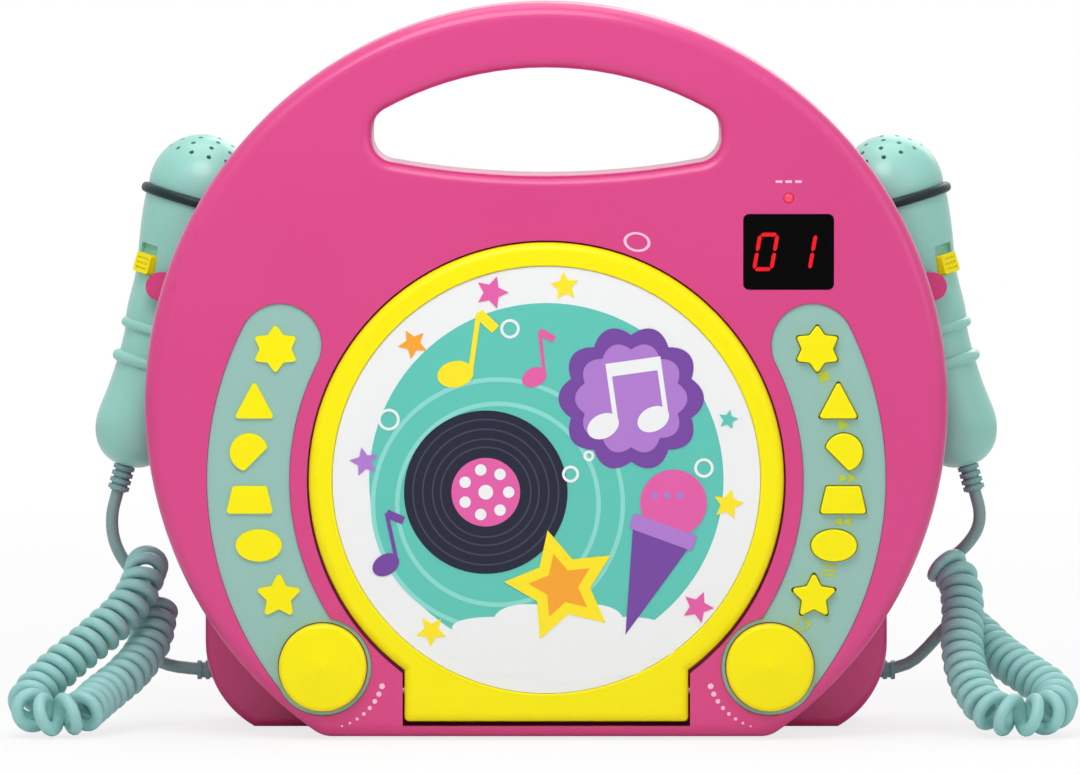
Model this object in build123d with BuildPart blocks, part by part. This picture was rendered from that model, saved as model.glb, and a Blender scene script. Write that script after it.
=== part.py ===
from build123d import *
from math import asin, cos, degrees, pi, radians, sin, sqrt, tan
import os

os.makedirs("parts", exist_ok=True)

# A child's karaoke disc player with two microphones on curly cords.
# Millimetres. X runs across, the front faces -Y, +Z is up, and it stands on z = 0.

# ---- housing
total_depth = 100.0
knob_rise = 6.0  # front of the volume knobs ahead of the face
shell_depth = 42.0  # front shell, face to seam
face_wall = 4.0
wall = 2.5
cover_thick = 4.0  # rear shell's plate that closes the front shell
body_r = 132.7
body_z = 110.9
base_corner_r = 10.0
face_edge_r = 5.0
cover_edge_r = 3.0
rear_half = 114.0
rear_top_z = 181.0
rear_shoulder_r = 16.0
rear_edge_r = 6.0
rear_foot_r = 32.5
rear_foot_z = 29.0
foot_edge_r = 2.4  # rounding of the foot's front edges
lip_depth = 3.0
lip_wall = 1.6
fit_gap = 0.15  # between fixed pieces that drop into each other
run_gap = 0.3  # around pieces that move by hand
shaft_gap = 0.05  # radial, on shafts and pins

face_y = knob_rise - total_depth / 2
inner_y = face_y + face_wall
seam_y = face_y + shell_depth
cover_y = seam_y + cover_thick
back_y = total_depth / 2

# ---- carrying handle
handle_thick = 21.5
handle_half = 57.5
handle_low_z = 186.5
handle_low_r = 288.0
handle_corner_r = 8.0
handle_flare_r = 4.0

# ---- lid
lid_z = 86.1
lid_r = 78.5
lid_base_half = 46.9
lid_base_z = 6.1
lid_gap = 0.6
lid_dip = 0.8  # how far the lid's shoulders sink as it starts to open
lid_slot = 1.0  # dark slot under the lid's base
lid_rise = 2.0
lid_thick = 4.2
lid_edge_r = 3.0
picture_r = 70.6
picture_thick = 1.2
picture_sink = 0.8
picture_rim_r = 0.6
hinge_depth = 5.5
hinge_y = face_y + hinge_depth
hinge_z = 16.0
hinge_pin_r = 1.4
hinge_pin_in = 11.0
hinge_pin_out = 4.0
barrel_r = 3.6
barrel_half = 5.5
barrel_x = 40.7
striker_turn = 69.0  # degrees round the lid from +X
striker_r = 72.0
striker_size = 5.0
striker_len = 7.0
catch_wall = 2.0

# ---- disc well behind the lid
well_r = 64.0
well_wall = 2.0
well_depth = 13.0
well_floor_y = face_y + well_depth
well_rim_r = 82.5
well_rim_thick = 1.5
ledge_inner_r = 73.0
ledge_lift = 1.5
pocket_depth = 13.5
pocket_depth_y = face_y + pocket_depth
pocket_top_z = 18.0
pocket_ear_z = 21.0
pocket_wall = 1.2
pocket_side = 4.5

# ---- side panels, keys and knobs
panel_off = 20.0
panel_mid_r = lid_r + panel_off
panel_width = 27.2
panel_low_a = -40.0
panel_top_a = 26.9
panel_pocket = 2.0
panel_sink = 0.8
knob_x = 73.9
knob_z = 24.1
knob_r = 14.5
knob_ring_r = 16.1
knob_hole_gap = 0.4
knob_dome = 1.6
knob_edge_r = 1.8
stem_r = 3.0
pot_r = 8.0
pot_depth = 9.0
pot_tag_w = 12.0
pot_tag_h = 5.0
key_rise = 2.2  # key tops above the panel
key_travel = 1.2
key_flange = 1.4
key_flange_thick = 1.5
key_rest_gap = 0.1
switch_size = 6.0
switch_body = 3.5
plunger_r = 1.7
plunger_rise = 1.5
board_thick = 1.6
key_board_width = 20.0
key_board_low_a = -24.0
key_board_top_a = 26.0
raised_shape = 0.9
key_corner_r = 0.9
key_edge_r = 0.5
stop_tips = 6
stop_r = (8.2, 5.2)  # at the tips and between them
repeat_tips = 5
repeat_r = (8.3, 4.2)
play_half = 6.7
play_low = -5.8
play_high = 6.8
back_low_half = 7.75
back_high_half = 5.6
back_half_h = 4.55
forward_r = 6.3
forward_cut_at = 7.0  # middle of the slab that cuts the round key
forward_cut_len = 20.0
forward_cut_width = 13.4
program_half = 7.6
program_half_h = 5.3
key_post_turns = [(18.96, 7.66), (0.82, 5.91), (-16.71, 5.49)]

# how far round and out of the panel's middle line each key on the right stands, the left being opposite
key_turns = {
    "stop_key": (25.84, 0.83),
    "play_key": (15.15, 1.37),
    "forward_key": (5.29, 0.12),
    "back_key": (-3.85, -0.28),
    "program_key": (-12.87, -1.05),
    "repeat_key": (-23.59, -2.04),
}

# ---- display
display_depth = 12.0
display_board_y = face_y + display_depth
display_x = 79.9
display_z = 161.4
display_w = 30.0
display_h = 25.1
display_corner = 2.0
display_sink = 0.8
window_flange = 1.5
window_flange_thick = 1.2
digit_h = 12.7
digit_w = 7.0
digit_stroke = 1.3
digit_slant = 10.0
digit_lift = 0.15
digit_pitch = 12.6
digit_shift = -1.2  # the digits stand a little left of the window's middle
join = 0.15  # dark gap at the ends of each bar
module_in = 4.0  # the display module is this much smaller than the window
display_board_left = 17.0
display_board_right = 15.0
display_board_down = 20.0
display_board_up = 22.0
display_post_left = 13.0
display_post_right = 11.0
display_post_down = 16.5
display_post_up = 17.5
led_z = 179.2
led_r = 1.6
led_back = 1.0  # flange of the lamp behind the face
led_rise = 0.2
led_round = 1.0
led_leg_x = 0.8
led_leg = 0.5

# ---- disc drive
hub_pin_r = 7.45  # a disc's hole is 15 mm
hub_pin_len = 4.2
platter_r = 15.0
platter_depth = 9.5
platter_y = face_y + platter_depth
platter_thick = 2.0
hub_stem_r = 4.0
hub_chamfer = 0.8
axle_r = 1.0
ball_r = 1.05
ball_at_r = 6.35
ball_count = 3
ball_spring = 0.4  # room behind each ball
ball_first_a = 45.0
ball_ahead = 1.7  # how far the balls sit before the platter
chassis_depth = 19.0
chassis_y = face_y + chassis_depth
chassis_thick = 2.0
chassis_left = -30.0
chassis_right = 78.0
chassis_half = 30.0
chassis_post_xs = (-26.0, 55.0)
chassis_post_z = 26.0
spindle_motor_r = 12.0
spindle_motor_len = 11.0
rod_r = 1.5
rod_depth = 25.5
rod_y = face_y + rod_depth
rod_z = 12.0
rod_hold = 3.0
sled_x = 24.0  # disc radius under the lens at rest
sled_len = 16.0
sled_travel = 34.0
sled_half = 8.0
lens_r = 3.0
sled_depth = 16.0
sled_front_y = face_y + sled_depth
lens_gap = 1.3  # lens behind the platter's front
lens_edge_r = 0.8
rack_z = 18.0  # rack's pitch line below the spindle
rack_spare = 1.5  # teeth past the pinion at each end of the travel
rack_back = 1.4
gear_module = 1.0
pinion_teeth = 14
pinion_x = 45.0
pinion_thick = 4.0
rack_thick = 3.0
addendum = 0.8
dedendum = 1.15
tooth_share = 0.42  # of the pitch, so that the teeth have backlash
tooth_root = 0.02  # the pinion's disc reaches this far into its teeth
pressure_a = 20.0
sled_motor_r = 7.0
sled_motor_len = 10.0
motor_edge_r = 1.0
motor_lug = 11.0
motor_lug_r = 2.5
motor_lug_drop = 2.0
motor_lug_thick = 1.0

# ---- electrics
main_board_depth = 12.0
main_board_y = cover_y + main_board_depth
main_board_half = 75.0
main_board_low = 82.0
main_board_high = 166.0
board_post_x = 66.0
board_post_zs = (90.0, 158.0)
chip_places = ((-30, 120), (25, 112))
chip_size = 18.0
socket_places = ((-52, 100), (52, 146))
socket_w = 20.0
socket_h = 8.0
chip_rise = 2.4
can_places = ((-5, 145), (10, 145), (50, 98), (-55, 145))
can_r = 4.0
can_rise = 9.0
post_r = 3.0
speaker_z = 128.0
speaker_r = 28.5
speaker_thick = 2.0
magnet_r = 14.0
magnet_len = 8.0
basket_len = 15.0
basket_taper = 28.0
speaker_rim = 3.0
basket_wall = 1.0
coil_gap = 5.0
cone_wall = 0.8
cone_gap = 0.7
grille_hole_r = 1.6
grille_step = 6.2
grille_rings = 4
bay_half = 55.0
bay_low_z = 12.0
bay_high_z = 70.0
bay_depth = 28.5
bay_wall = 2.5
door_over = 2.0
door_thick = 2.4
door_corner_r = 2.0
door_edge_r = 0.6
thumb_drop = 6.0  # thumb recess below the bay's top
thumb_w = 24.0
thumb_h = 8.0
thumb_deep = 1.0
door_rib_short = 8.0
door_rib_half = 1.0
door_rib_rise = 2.0
cell_in = 14.5  # a cell's middle from the bay's edge
cell_r = 13.5
contact_size = 14.0
contact_thick = 0.5
spring_r = 5.5
spring_wire = 0.8
spring_rise = 2.5
spring_tip_r = 3.9
spring_tip_rise = 2.0
spring_web = 1.0
jack_x = 82.0
jack_z = 48.0
jack_r = 4.0
jack_len = 11.0
jack_block = 12.0
jack_sink = 0.4
jack_wall = 1.2
jack_pin_r = 1.0
screw_r = 1.5
screw_head_r = 3.0
screw_head_len = 2.2
screw_len = 12.0
screw_cross_w = 0.7
screw_cross_len = 3.4
upper_screw_places = ((120.1, 132.1), (78.4, 204.4))
lower_screw_x = 87.0
lower_screw_z = 27.0
boss_r = 3.5
tunnel_r = 5.2
foot_pad_r = 5.5
foot_pad_thick = 2.0
front_pad_x = 48.0
front_pad_y = -20.0
rear_pad_x = 78.0
rear_pad_y = 36.0
foot_stand = 0.8  # housing held this far off the table

# ---- microphones; s runs down the axis from the middle of the head
mic_out = 1.8
mic_x = rear_half + mic_out
mic_depth = 20.3
mic_y = cover_y + mic_depth
mic_z = 180.6
mic_tilt = 15.5
mic_head_r = 17.7
mic_head_wall = 2.2
mic_ring_r = 19.5
mic_ring_thick = 3.3
mic_ring_s = 4.8
mic_neck_r = 14.8
mic_bore_r = 8.5
mic_bore_s = 84.0
band_deep = 5.0
mic_corner_r = 0.8
head_cut = 3.0  # cuts reach this far past the head's wall
mic_taper = [(6.5, 17.5), (23.5, 15.3), (34.5, 13.7), (45.0, 13.4), (52.0, 12.2)]
mic_tail = [(52.0, 12.2), (64.0, 12.0), (76.4, 12.9), (82.5, 13.5), (90.7, 11.7), (96.8, 4.5)]
mic_bands = [(50.2, 14.0, 3.6), (61.7, 13.9, 4.0)]  # s, radius, width
capsule_r = 7.0
capsule_len = 6.0
capsule_up = 3.0  # its seat above the head's middle
capsule_rim = 3.0
head_hole_r = 0.8
head_hole_rings = [(38.0, 14), (52.0, 10), (66.0, 7), (80.0, 3)]  # degrees up, count
switch_s = 27.8
switch_turn = 50.0
recess_w = 9.0
recess_len = 10.3
recess_r = 13.0  # floor of the recess from the mic's axis
slider_w = 8.0
slider_len = 6.6
slider_top_r = 16.0
groove_step = 1.7
groove_len = 6.0
groove_w = 0.6
groove_deep = 0.5
boot_r = 3.6
boot_len = 9.2
boot_ribs = 4
boot_rib = 1.4
boot_groove = 0.8
fork_z = 147.9
fork_out = 20.0
fork_reach = rear_half + fork_out
fork_h = 9.5
fork_thick = 3.5
fork_half_gap = 14.8

# ---- microphone cords
cord_r = 2.1
cord_gap = 1.6  # lets the microphone slide away from its lead
cord_straight = 5.5  # square run into the boot
corner_share = 0.45  # of the shorter run, taken by a bend at each end
cord_seat = 4.5  # cord held inside its gland
curl_r = 7.4  # outside of the curl's turns
gland_z = 18.0
gland_depth = 20.0
gland_y = cover_y + gland_depth
gland_r = 2.6
gland_collar_r = 3.2
gland_collar = 1.4
gland_step = 1.2  # middle collar outside the wall
gland_past = 3.4
gland_out = rear_half + gland_past

# hand-laid routes, the microphone's end first
left_lead_route = [(-138.3, 22.8, 49.6), (-142.0, 22.6, 54.4), (-144.9, 22.4, 59.8), (-146.2, 22.3, 65.6)]
left_curl_route = [
    (-134.3, 23, 53.5), (-134.5, 14, 52.5), (-136.5, 8, 45.5), (-141.5, 3, 38.8), (-149.0, -3.5, 32.2),
    (-157.0, -10, 25.8), (-164.5, -16.5, 19.8), (-170.2, -23.5, 14.2), (-172.6, -31.5, 9.8),
    (-168.0, -38.5, 8.0), (-160.3, -40.3, 8.0), (-153.6, -36, 8.4), (-151.4, -26.8, 10.2),
    (-147.5, -16, 13.2), (-140.5, -6, 18.0), (-135.0, 6, 23.8), (-131.6, 16, 31.6), (-131.0, 25.5, 39.6),
]
left_foot_route = [
    (-136.3, 25, 41.2), (-138.7, 29.2, 35.6), (-139.0, 31, 29.0), (-136.4, 29, 23.6), (-130.5, 26, 20.4),
    (-124.0, 23, 18.6),
]
right_lead_route = [(135.4, 24.8, 53.8), (139.0, 24.2, 57.4), (142.8, 23.4, 61.4), (145.6, 22.7, 66.2)]
right_curl_route = [
    (132.2, 20, 54.8), (138.2, 17, 50.8), (139.6, 11, 43.8), (139.6, 4, 36.6), (139.0, -4, 29.8),
    (139.2, -12, 23.0), (141.2, -20.5, 16.8), (144.2, -29, 11.6), (147.8, -36.5, 8.4), (153.4, -41.6, 8.0),
    (160.2, -41.6, 8.0), (166.0, -37.4, 8.2), (169.4, -31, 10.2), (169.4, -22, 13.6), (164.0, -13, 17.0),
    (157.5, -3, 20.8), (151.5, 7.5, 24.8), (146.4, 17.5, 29.4), (141.5, 26.5, 33.4),
]
right_foot_route = [(139.3, 23.8, 37.6), (133.5, 22.2, 31.5), (127.6, 21.9, 24.6), (121.0, 22, 18.9)]


def upright(y):
    """A sketch plane across the object at depth y. Its own x and y are X and Z."""
    return Plane.XZ.offset(-y)


def round_lid(turn, out):
    """A place turned round the lid's middle, out from the panels' middle line."""
    r, a = panel_mid_r + out, radians(turn)
    return (r * cos(a), lid_z + r * sin(a))


def keep(piece, name):
    piece.part.label = name
    export_step(piece.part, f"parts/{name}.step")


# ---- outlines that several pieces share

with BuildSketch() as body_profile:
    with Locations((0, body_z)):
        Circle(body_r)
    with Locations((0, foot_stand)):
        Rectangle(2 * body_r, body_r, align=(Align.CENTER, Align.MAX), mode=Mode.SUBTRACT)
    fillet(body_profile.vertices().group_by(Axis.Y)[0], base_corner_r)

with BuildSketch() as handle_profile:
    with Locations((0, body_z)):
        Circle(body_r - handle_thick)
    with Locations((0, handle_low_z + handle_low_r)):
        Circle(handle_low_r, mode=Mode.INTERSECT)
    with Locations((0, handle_low_z)):
        Rectangle(2 * handle_half, body_r, mode=Mode.INTERSECT)
    corners = handle_profile.vertices().filter_by(lambda v: abs(abs(v.X) - handle_half) < wall)
    fillet(corners, handle_corner_r)

rear_foot_a = degrees(asin(rear_foot_z / rear_foot_r))
rear_shoulder_a = degrees(asin((rear_top_z - body_z) / rear_half))
with BuildSketch() as rear_profile:
    with BuildLine() as rear_line:
        foot = CenterArc((rear_half - rear_foot_r, rear_foot_z), rear_foot_r, -rear_foot_a, rear_foot_a)
        Line((0, 0), foot @ 0)
        side = Line(foot @ 1, (rear_half, body_z))
        shoulder = CenterArc((0, body_z), rear_half, 0, rear_shoulder_a)
        Line(shoulder @ 1, (0, rear_top_z))
        mirror(about=Plane.YZ)
    make_face()
    fillet(rear_profile.vertices().group_by(Axis.Y)[-1], rear_shoulder_r)
    with Locations((0, foot_stand)):
        Rectangle(2 * body_r, body_r, align=(Align.CENTER, Align.MAX), mode=Mode.SUBTRACT)

with BuildSketch() as lid_profile:
    with Locations((0, lid_z)):
        Circle(lid_r)
    with Locations((0, lid_base_z)):
        Rectangle(2 * lid_base_half, lid_z - lid_base_z, align=(Align.CENTER, Align.MIN))
    fillet(lid_profile.vertices().group_by(Axis.Y)[0], lid_edge_r / 2)

opening_half = lid_base_half + lid_gap
opening_low_z = lid_base_z - lid_gap - lid_slot
with BuildSketch() as opening_profile:
    with Locations((0, lid_z)):
        Circle(lid_r + lid_gap)
    with Locations((0, lid_z - lid_dip)):
        Circle(lid_r + lid_gap)
    with Locations((0, opening_low_z)):
        Rectangle(2 * opening_half, lid_z - opening_low_z, align=(Align.CENTER, Align.MIN))

panel_arcs = {
    1: CenterArc((0, lid_z), panel_mid_r, panel_low_a, panel_top_a - panel_low_a),
    -1: CenterArc((0, lid_z), panel_mid_r, 180 - panel_top_a, panel_top_a - panel_low_a),
}
key_board_arc = CenterArc((0, lid_z), panel_mid_r, key_board_low_a, key_board_top_a - key_board_low_a)


def panel_profile(hand, grow):
    """The crescent beside the lid and the round end about the knob; hand is 1 right, -1 left."""
    with BuildSketch() as profile:
        SlotArc(panel_arcs[hand], panel_width + 2 * grow)
        with Locations((hand * knob_x, knob_z)):
            Circle(knob_ring_r + grow)
    return profile.sketch


def star_points(tips, outer_r, inner_r):
    step = 180 / tips
    radii = [outer_r if i % 2 == 0 else inner_r for i in range(2 * tips)]
    return [(r * cos(radians(90 + i * step)), r * sin(radians(90 + i * step))) for i, r in enumerate(radii)]


key_places = {name: round_lid(*turn) for name, turn in key_turns.items()}
key_posts = [round_lid(*turn) for turn in key_post_turns]
back_low = [(-back_low_half, -back_half_h), (back_low_half, -back_half_h)]
back_high = [(back_high_half, back_half_h), (-back_high_half, back_half_h)]
key_corners = {
    "stop_key": star_points(stop_tips, *stop_r),
    "play_key": [(-play_half, play_low), (play_half, play_low), (0, play_high)],
    "back_key": back_low + back_high,
    "repeat_key": star_points(repeat_tips, *repeat_r),
}


def key_profile(name, grow=0.0, hand=1):
    """One key's outline about its own middle, grown all round for holes and flanges."""
    with BuildSketch() as profile:
        if name == "forward_key":
            Circle(forward_r + grow)
            with Locations(Location((-forward_cut_at * hand, -forward_cut_at), -45 * hand)):
                Rectangle(forward_cut_len, forward_cut_width - 2 * grow, mode=Mode.SUBTRACT)
        elif name == "program_key":
            Ellipse(program_half + grow, program_half_h + grow)
        else:
            Polygon(*key_corners[name], align=None)
            if grow:
                offset(amount=grow, kind=Kind.INTERSECTION)
        if name != "program_key":
            fillet(profile.vertices(), key_corner_r)
    return profile.sketch


def ring_places(radius, count, first=0.0):
    return [
        (radius * cos(radians(first + 360 * i / count)), radius * sin(radians(first + 360 * i / count)))
        for i in range(count)
    ]


# ---- front shell

panel_floor_y = face_y + panel_pocket
key_back_y = inner_y + key_rest_gap + key_flange_thick
switch_front_y = key_back_y + key_travel + key_rest_gap
key_board_y = switch_front_y + plunger_rise + switch_body
display_posts = [
    (display_x - display_post_left, display_z - display_post_down),
    (display_x + display_post_right, display_z + display_post_up),
]
upper_screws = [(hand * x, z) for hand in (1, -1) for x, z in upper_screw_places]
lower_screws = [(hand * lower_screw_x, lower_screw_z) for hand in (1, -1)]
screw_places = upper_screws + lower_screws
front_pads = [(hand * front_pad_x, front_pad_y) for hand in (1, -1)]
rear_pads = [(hand * rear_pad_x, rear_pad_y) for hand in (1, -1)]

with BuildPart() as front_shell:
    with BuildSketch(upright(seam_y)):
        add(body_profile.sketch)
    extrude(amount=shell_depth)
    fillet(front_shell.faces().sort_by(Axis.Y)[0].edges(), face_edge_r)
    with BuildSketch(upright(seam_y)):
        add(body_profile.sketch)
        offset(amount=-wall)
    extrude(amount=shell_depth - face_wall, mode=Mode.SUBTRACT)
    with BuildSketch(upright(seam_y)):
        add(handle_profile.sketch)
        offset(amount=wall)
    extrude(amount=shell_depth - face_wall / 2)
    with BuildSketch(upright(seam_y)):
        add(handle_profile.sketch)
    handle_cut = extrude(amount=shell_depth, mode=Mode.SUBTRACT)
    rim = front_shell.faces().sort_by(Axis.Y)[0].inner_wires()[0].edges()
    fillet(rim, handle_flare_r - fit_gap)
    # opening for the lid, pockets for the panels, window and lamp
    with BuildSketch(upright(inner_y)):
        add(opening_profile.sketch)
        with Locations((display_x, display_z)):
            RectangleRounded(display_w, display_h, display_corner)
        with Locations((display_x, led_z)):
            Circle(led_r + fit_gap)
        with Locations((knob_x, knob_z), (-knob_x, knob_z)):
            Circle(stem_r + shaft_gap)
    extrude(amount=face_wall, mode=Mode.SUBTRACT)
    with BuildSketch(upright(panel_floor_y)):
        add(panel_profile(1, fit_gap))
        add(panel_profile(-1, fit_gap))
    extrude(amount=panel_pocket, mode=Mode.SUBTRACT)
    with BuildSketch(upright(inner_y)):
        for name, place in key_places.items():
            with Locations(place):
                add(key_profile(name, run_gap))
    extrude(amount=face_wall, mode=Mode.SUBTRACT)
    # posts for the two small boards, bosses for the screws
    with BuildSketch(upright(key_board_y)):
        with Locations(*key_posts):
            Circle(post_r - 1)
    extrude(amount=key_board_y - inner_y)
    with BuildSketch(upright(display_board_y)):
        with Locations(*display_posts):
            Circle(post_r - 1)
    extrude(amount=display_board_y - inner_y)
    with BuildSketch(upright(seam_y)):
        with Locations(*screw_places):
            Circle(boss_r)
    extrude(amount=seam_y - inner_y)
    with BuildSketch(upright(seam_y)):
        with Locations(*screw_places):
            Circle(screw_r + shaft_gap)
    extrude(amount=screw_len, mode=Mode.SUBTRACT)
    with BuildSketch(Plane.XY):
        with Locations(*front_pads):
            Circle(foot_pad_r + fit_gap)
    extrude(amount=foot_pad_thick, mode=Mode.SUBTRACT)
keep(front_shell, "front_shell")

# ---- rear shell: cover plate, box, battery bay and microphone forks

rear_inner_y = back_y - wall
bay_front_y = back_y - bay_depth
door_half = bay_half + door_over
door_low_z = bay_low_z - door_over
door_high_z = bay_high_z + door_over
board_posts = [(hand * board_post_x, z) for hand in (1, -1) for z in board_post_zs]


def board_box(low_x, high_x, low_z, high_z):
    """A rectangle given by its edges, in an upright sketch."""
    with Locations(((low_x + high_x) / 2, (low_z + high_z) / 2)):
        Rectangle(high_x - low_x, high_z - low_z)


fork_ys = (mic_y - fork_half_gap, mic_y + fork_half_gap + fork_thick)
fork_len = fork_reach - sqrt(rear_half**2 - (fork_z - body_z) ** 2) + 2 * wall
with BuildPart() as rear_block:
    with BuildSketch(upright(back_y)):
        add(rear_profile.sketch)
    extrude(amount=back_y - seam_y)
    fillet(rear_block.faces().sort_by(Axis.Y)[-1].edges(), rear_edge_r)
    fillet(rear_block.faces().sort_by(Axis.Y)[0].edges(), foot_edge_r)

with BuildPart() as rear_shell:
    with BuildSketch(upright(cover_y)):
        add(body_profile.sketch)
        add(handle_profile.sketch, mode=Mode.SUBTRACT)
    extrude(amount=cover_thick)
    fillet(rear_shell.faces().sort_by(Axis.Y)[-1].edges(), cover_edge_r)
    add(rear_block.part)
    # hollow: open to the front inside the round face, closed where the foot stands out past it
    with BuildSketch(upright(rear_inner_y)):
        add(rear_profile.sketch)
        offset(amount=-wall)
    extrude(amount=rear_inner_y - seam_y - wall, mode=Mode.SUBTRACT)
    with BuildSketch(upright(seam_y + wall)):
        add(rear_profile.sketch)
        offset(amount=-wall)
        with BuildSketch(mode=Mode.PRIVATE) as face_inner:
            add(body_profile.sketch)
            offset(amount=-wall)
        add(face_inner.sketch, mode=Mode.INTERSECT)
    extrude(amount=wall, mode=Mode.SUBTRACT)
    # lip inside the front shell
    with BuildSketch(upright(seam_y)):
        with BuildSketch(mode=Mode.PRIVATE) as lip_inner:
            add(body_profile.sketch)
            offset(amount=-(wall + fit_gap + lip_wall))
        add(body_profile.sketch)
        offset(amount=-(wall + fit_gap))
        add(lip_inner.sketch, mode=Mode.SUBTRACT)
    extrude(amount=lip_depth)
    # battery bay, open at the back
    with BuildSketch(upright(rear_inner_y)):
        board_box(-bay_half - bay_wall, bay_half + bay_wall, bay_low_z - bay_wall, bay_high_z + bay_wall)
    extrude(amount=rear_inner_y - bay_front_y + bay_wall)
    with BuildSketch(upright(back_y)):
        board_box(-bay_half, bay_half, bay_low_z, bay_high_z)
    extrude(amount=bay_depth, mode=Mode.SUBTRACT)
    with BuildSketch(upright(back_y)):
        board_box(-door_half - run_gap, door_half + run_gap, door_low_z - run_gap, door_high_z + run_gap)
    extrude(amount=wall, mode=Mode.SUBTRACT)
    # posts for the main board, ring about the speaker, tunnels over the lower screws
    with BuildSketch(upright(rear_inner_y)):
        with Locations(*board_posts):
            Circle(post_r)
    extrude(amount=rear_inner_y - main_board_y - board_thick)
    with BuildSketch(upright(rear_inner_y)):
        with Locations((0, speaker_z)):
            Circle(speaker_r + fit_gap + wall)
            Circle(speaker_r + fit_gap, mode=Mode.SUBTRACT)
    extrude(amount=2 * speaker_thick)
    with BuildSketch(upright(back_y)):
        with Locations(*lower_screws):
            Circle(tunnel_r)
    extrude(amount=back_y - seam_y)
    with BuildSketch(upright(back_y)):
        with Locations(*lower_screws):
            Circle(screw_head_r + run_gap)
    extrude(amount=back_y - cover_y, mode=Mode.SUBTRACT)
    with BuildSketch(upright(cover_y)):
        with Locations(*screw_places):
            Circle(screw_head_r + fit_gap)
    extrude(amount=screw_head_len, mode=Mode.SUBTRACT)
    with BuildSketch(upright(cover_y)):
        with Locations(*screw_places):
            Circle(screw_r + fit_gap)
    extrude(amount=cover_thick, mode=Mode.SUBTRACT)
    # holes that the microphone forks are set in
    for near_y in fork_ys:
        with BuildSketch(upright(near_y)):
            for hand in (1, -1):
                with Locations((hand * (fork_reach - fork_len / 2), fork_z)):
                    SlotOverall(fork_len, fork_h)
        extrude(amount=fork_thick, mode=Mode.SUBTRACT)
    # openings: speaker grille, power socket, cord glands, foot pads
    with BuildSketch(upright(back_y)):
        with Locations((0, speaker_z)):
            Circle(grille_hole_r)
        for ring in range(1, grille_rings + 1):
            with Locations(*[(x, speaker_z + z) for x, z in ring_places(ring * grille_step, 6 * ring)]):
                Circle(grille_hole_r)
        with Locations((jack_x, jack_z)):
            Circle(jack_r + fit_gap)
    extrude(amount=wall, mode=Mode.SUBTRACT)
    with BuildSketch(Plane.YZ.offset(-rear_half)):
        with Locations((gland_y, gland_z)):
            Circle(gland_r + shaft_gap)
    extrude(amount=rear_foot_r, mode=Mode.SUBTRACT)
    with BuildSketch(Plane.YZ.offset(rear_half)):
        with Locations((gland_y, gland_z)):
            Circle(gland_r + shaft_gap)
    extrude(amount=-rear_foot_r, mode=Mode.SUBTRACT)
    with BuildSketch(Plane.XY):
        with Locations(*rear_pads):
            Circle(foot_pad_r + fit_gap)
    extrude(amount=foot_pad_thick, mode=Mode.SUBTRACT)
keep(rear_shell, "rear_shell")

# arms that hold the microphones, open outwards
with BuildPart() as mic_forks:
    for near_y in fork_ys:
        with BuildSketch(upright(near_y)):
            for hand in (1, -1):
                with Locations((hand * (fork_reach - fork_len / 2), fork_z)):
                    SlotOverall(fork_len, fork_h)
        extrude(amount=fork_thick)
keep(mic_forks, "mic_forks")

with BuildPart() as rubber_feet:
    with BuildSketch(Plane.XY):
        with Locations(*front_pads, *rear_pads):
            Circle(foot_pad_r)
    extrude(amount=foot_pad_thick)
keep(rubber_feet, "rubber_feet")

with BuildPart() as housing_screws:
    with BuildSketch(upright(cover_y)):
        with Locations(*screw_places):
            Circle(screw_head_r)
    extrude(amount=screw_head_len)
    with BuildSketch(upright(cover_y - screw_head_len)):
        with Locations(*screw_places):
            Circle(screw_r)
    extrude(amount=screw_len)
    with BuildSketch(upright(cover_y)):
        with Locations(*screw_places):
            Rectangle(screw_cross_w, screw_cross_len)
            Rectangle(screw_cross_len, screw_cross_w)
    extrude(amount=screw_head_len / 2, mode=Mode.SUBTRACT)
keep(housing_screws, "housing_screws")

# ---- battery door and contacts

cell_rows = (bay_low_z + cell_in, bay_high_z - cell_in)
cell_y = back_y - door_thick - door_rib_rise - cell_r
with BuildPart() as battery_door:
    with BuildSketch(upright(back_y)):
        board_box(-door_half, door_half, door_low_z, door_high_z)
    extrude(amount=door_thick)
    fillet(battery_door.edges().filter_by(Axis.Y), door_corner_r)
    fillet(battery_door.faces().sort_by(Axis.Y)[-1].edges(), door_edge_r)
    # thumb recess and the ribs that keep the cells down
    with BuildSketch(upright(back_y)):
        with Locations((0, bay_high_z - thumb_drop)):
            SlotOverall(thumb_w, thumb_h)
    extrude(amount=thumb_deep, mode=Mode.SUBTRACT)
    with BuildSketch(upright(back_y - door_thick)):
        for z in cell_rows:
            rib_end = bay_half - door_rib_short
            board_box(-rib_end, rib_end, z - door_rib_half, z + door_rib_half)
    extrude(amount=door_rib_rise)
keep(battery_door, "battery_door")

with BuildPart() as battery_contacts:
    for hand in (1, -1):
        for z in cell_rows:
            inside = Plane(origin=(hand * bay_half, cell_y, z), x_dir=(0, 1, 0), z_dir=(-hand, 0, 0))
            with BuildSketch(inside):
                Rectangle(contact_size, contact_size)
            extrude(amount=contact_thick)
            # a stepped cup stands for the sprung coil
            with BuildSketch(inside.offset(contact_thick)):
                Circle(spring_r)
                Circle(spring_r - spring_wire, mode=Mode.SUBTRACT)
            extrude(amount=spring_rise)
            with BuildSketch(inside.offset(contact_thick + spring_rise)):
                Circle(spring_tip_r)
                Circle(spring_tip_r - spring_wire, mode=Mode.SUBTRACT)
            extrude(amount=spring_tip_rise)
            with BuildSketch(inside.offset(contact_thick + spring_rise - spring_web)):
                Circle(spring_r)
                Circle(spring_tip_r - spring_wire, mode=Mode.SUBTRACT)
            extrude(amount=spring_web)
keep(battery_contacts, "battery_contacts")

# ---- disc well: floor, rim behind the face, ledge under the lid, hinge pocket

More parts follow.
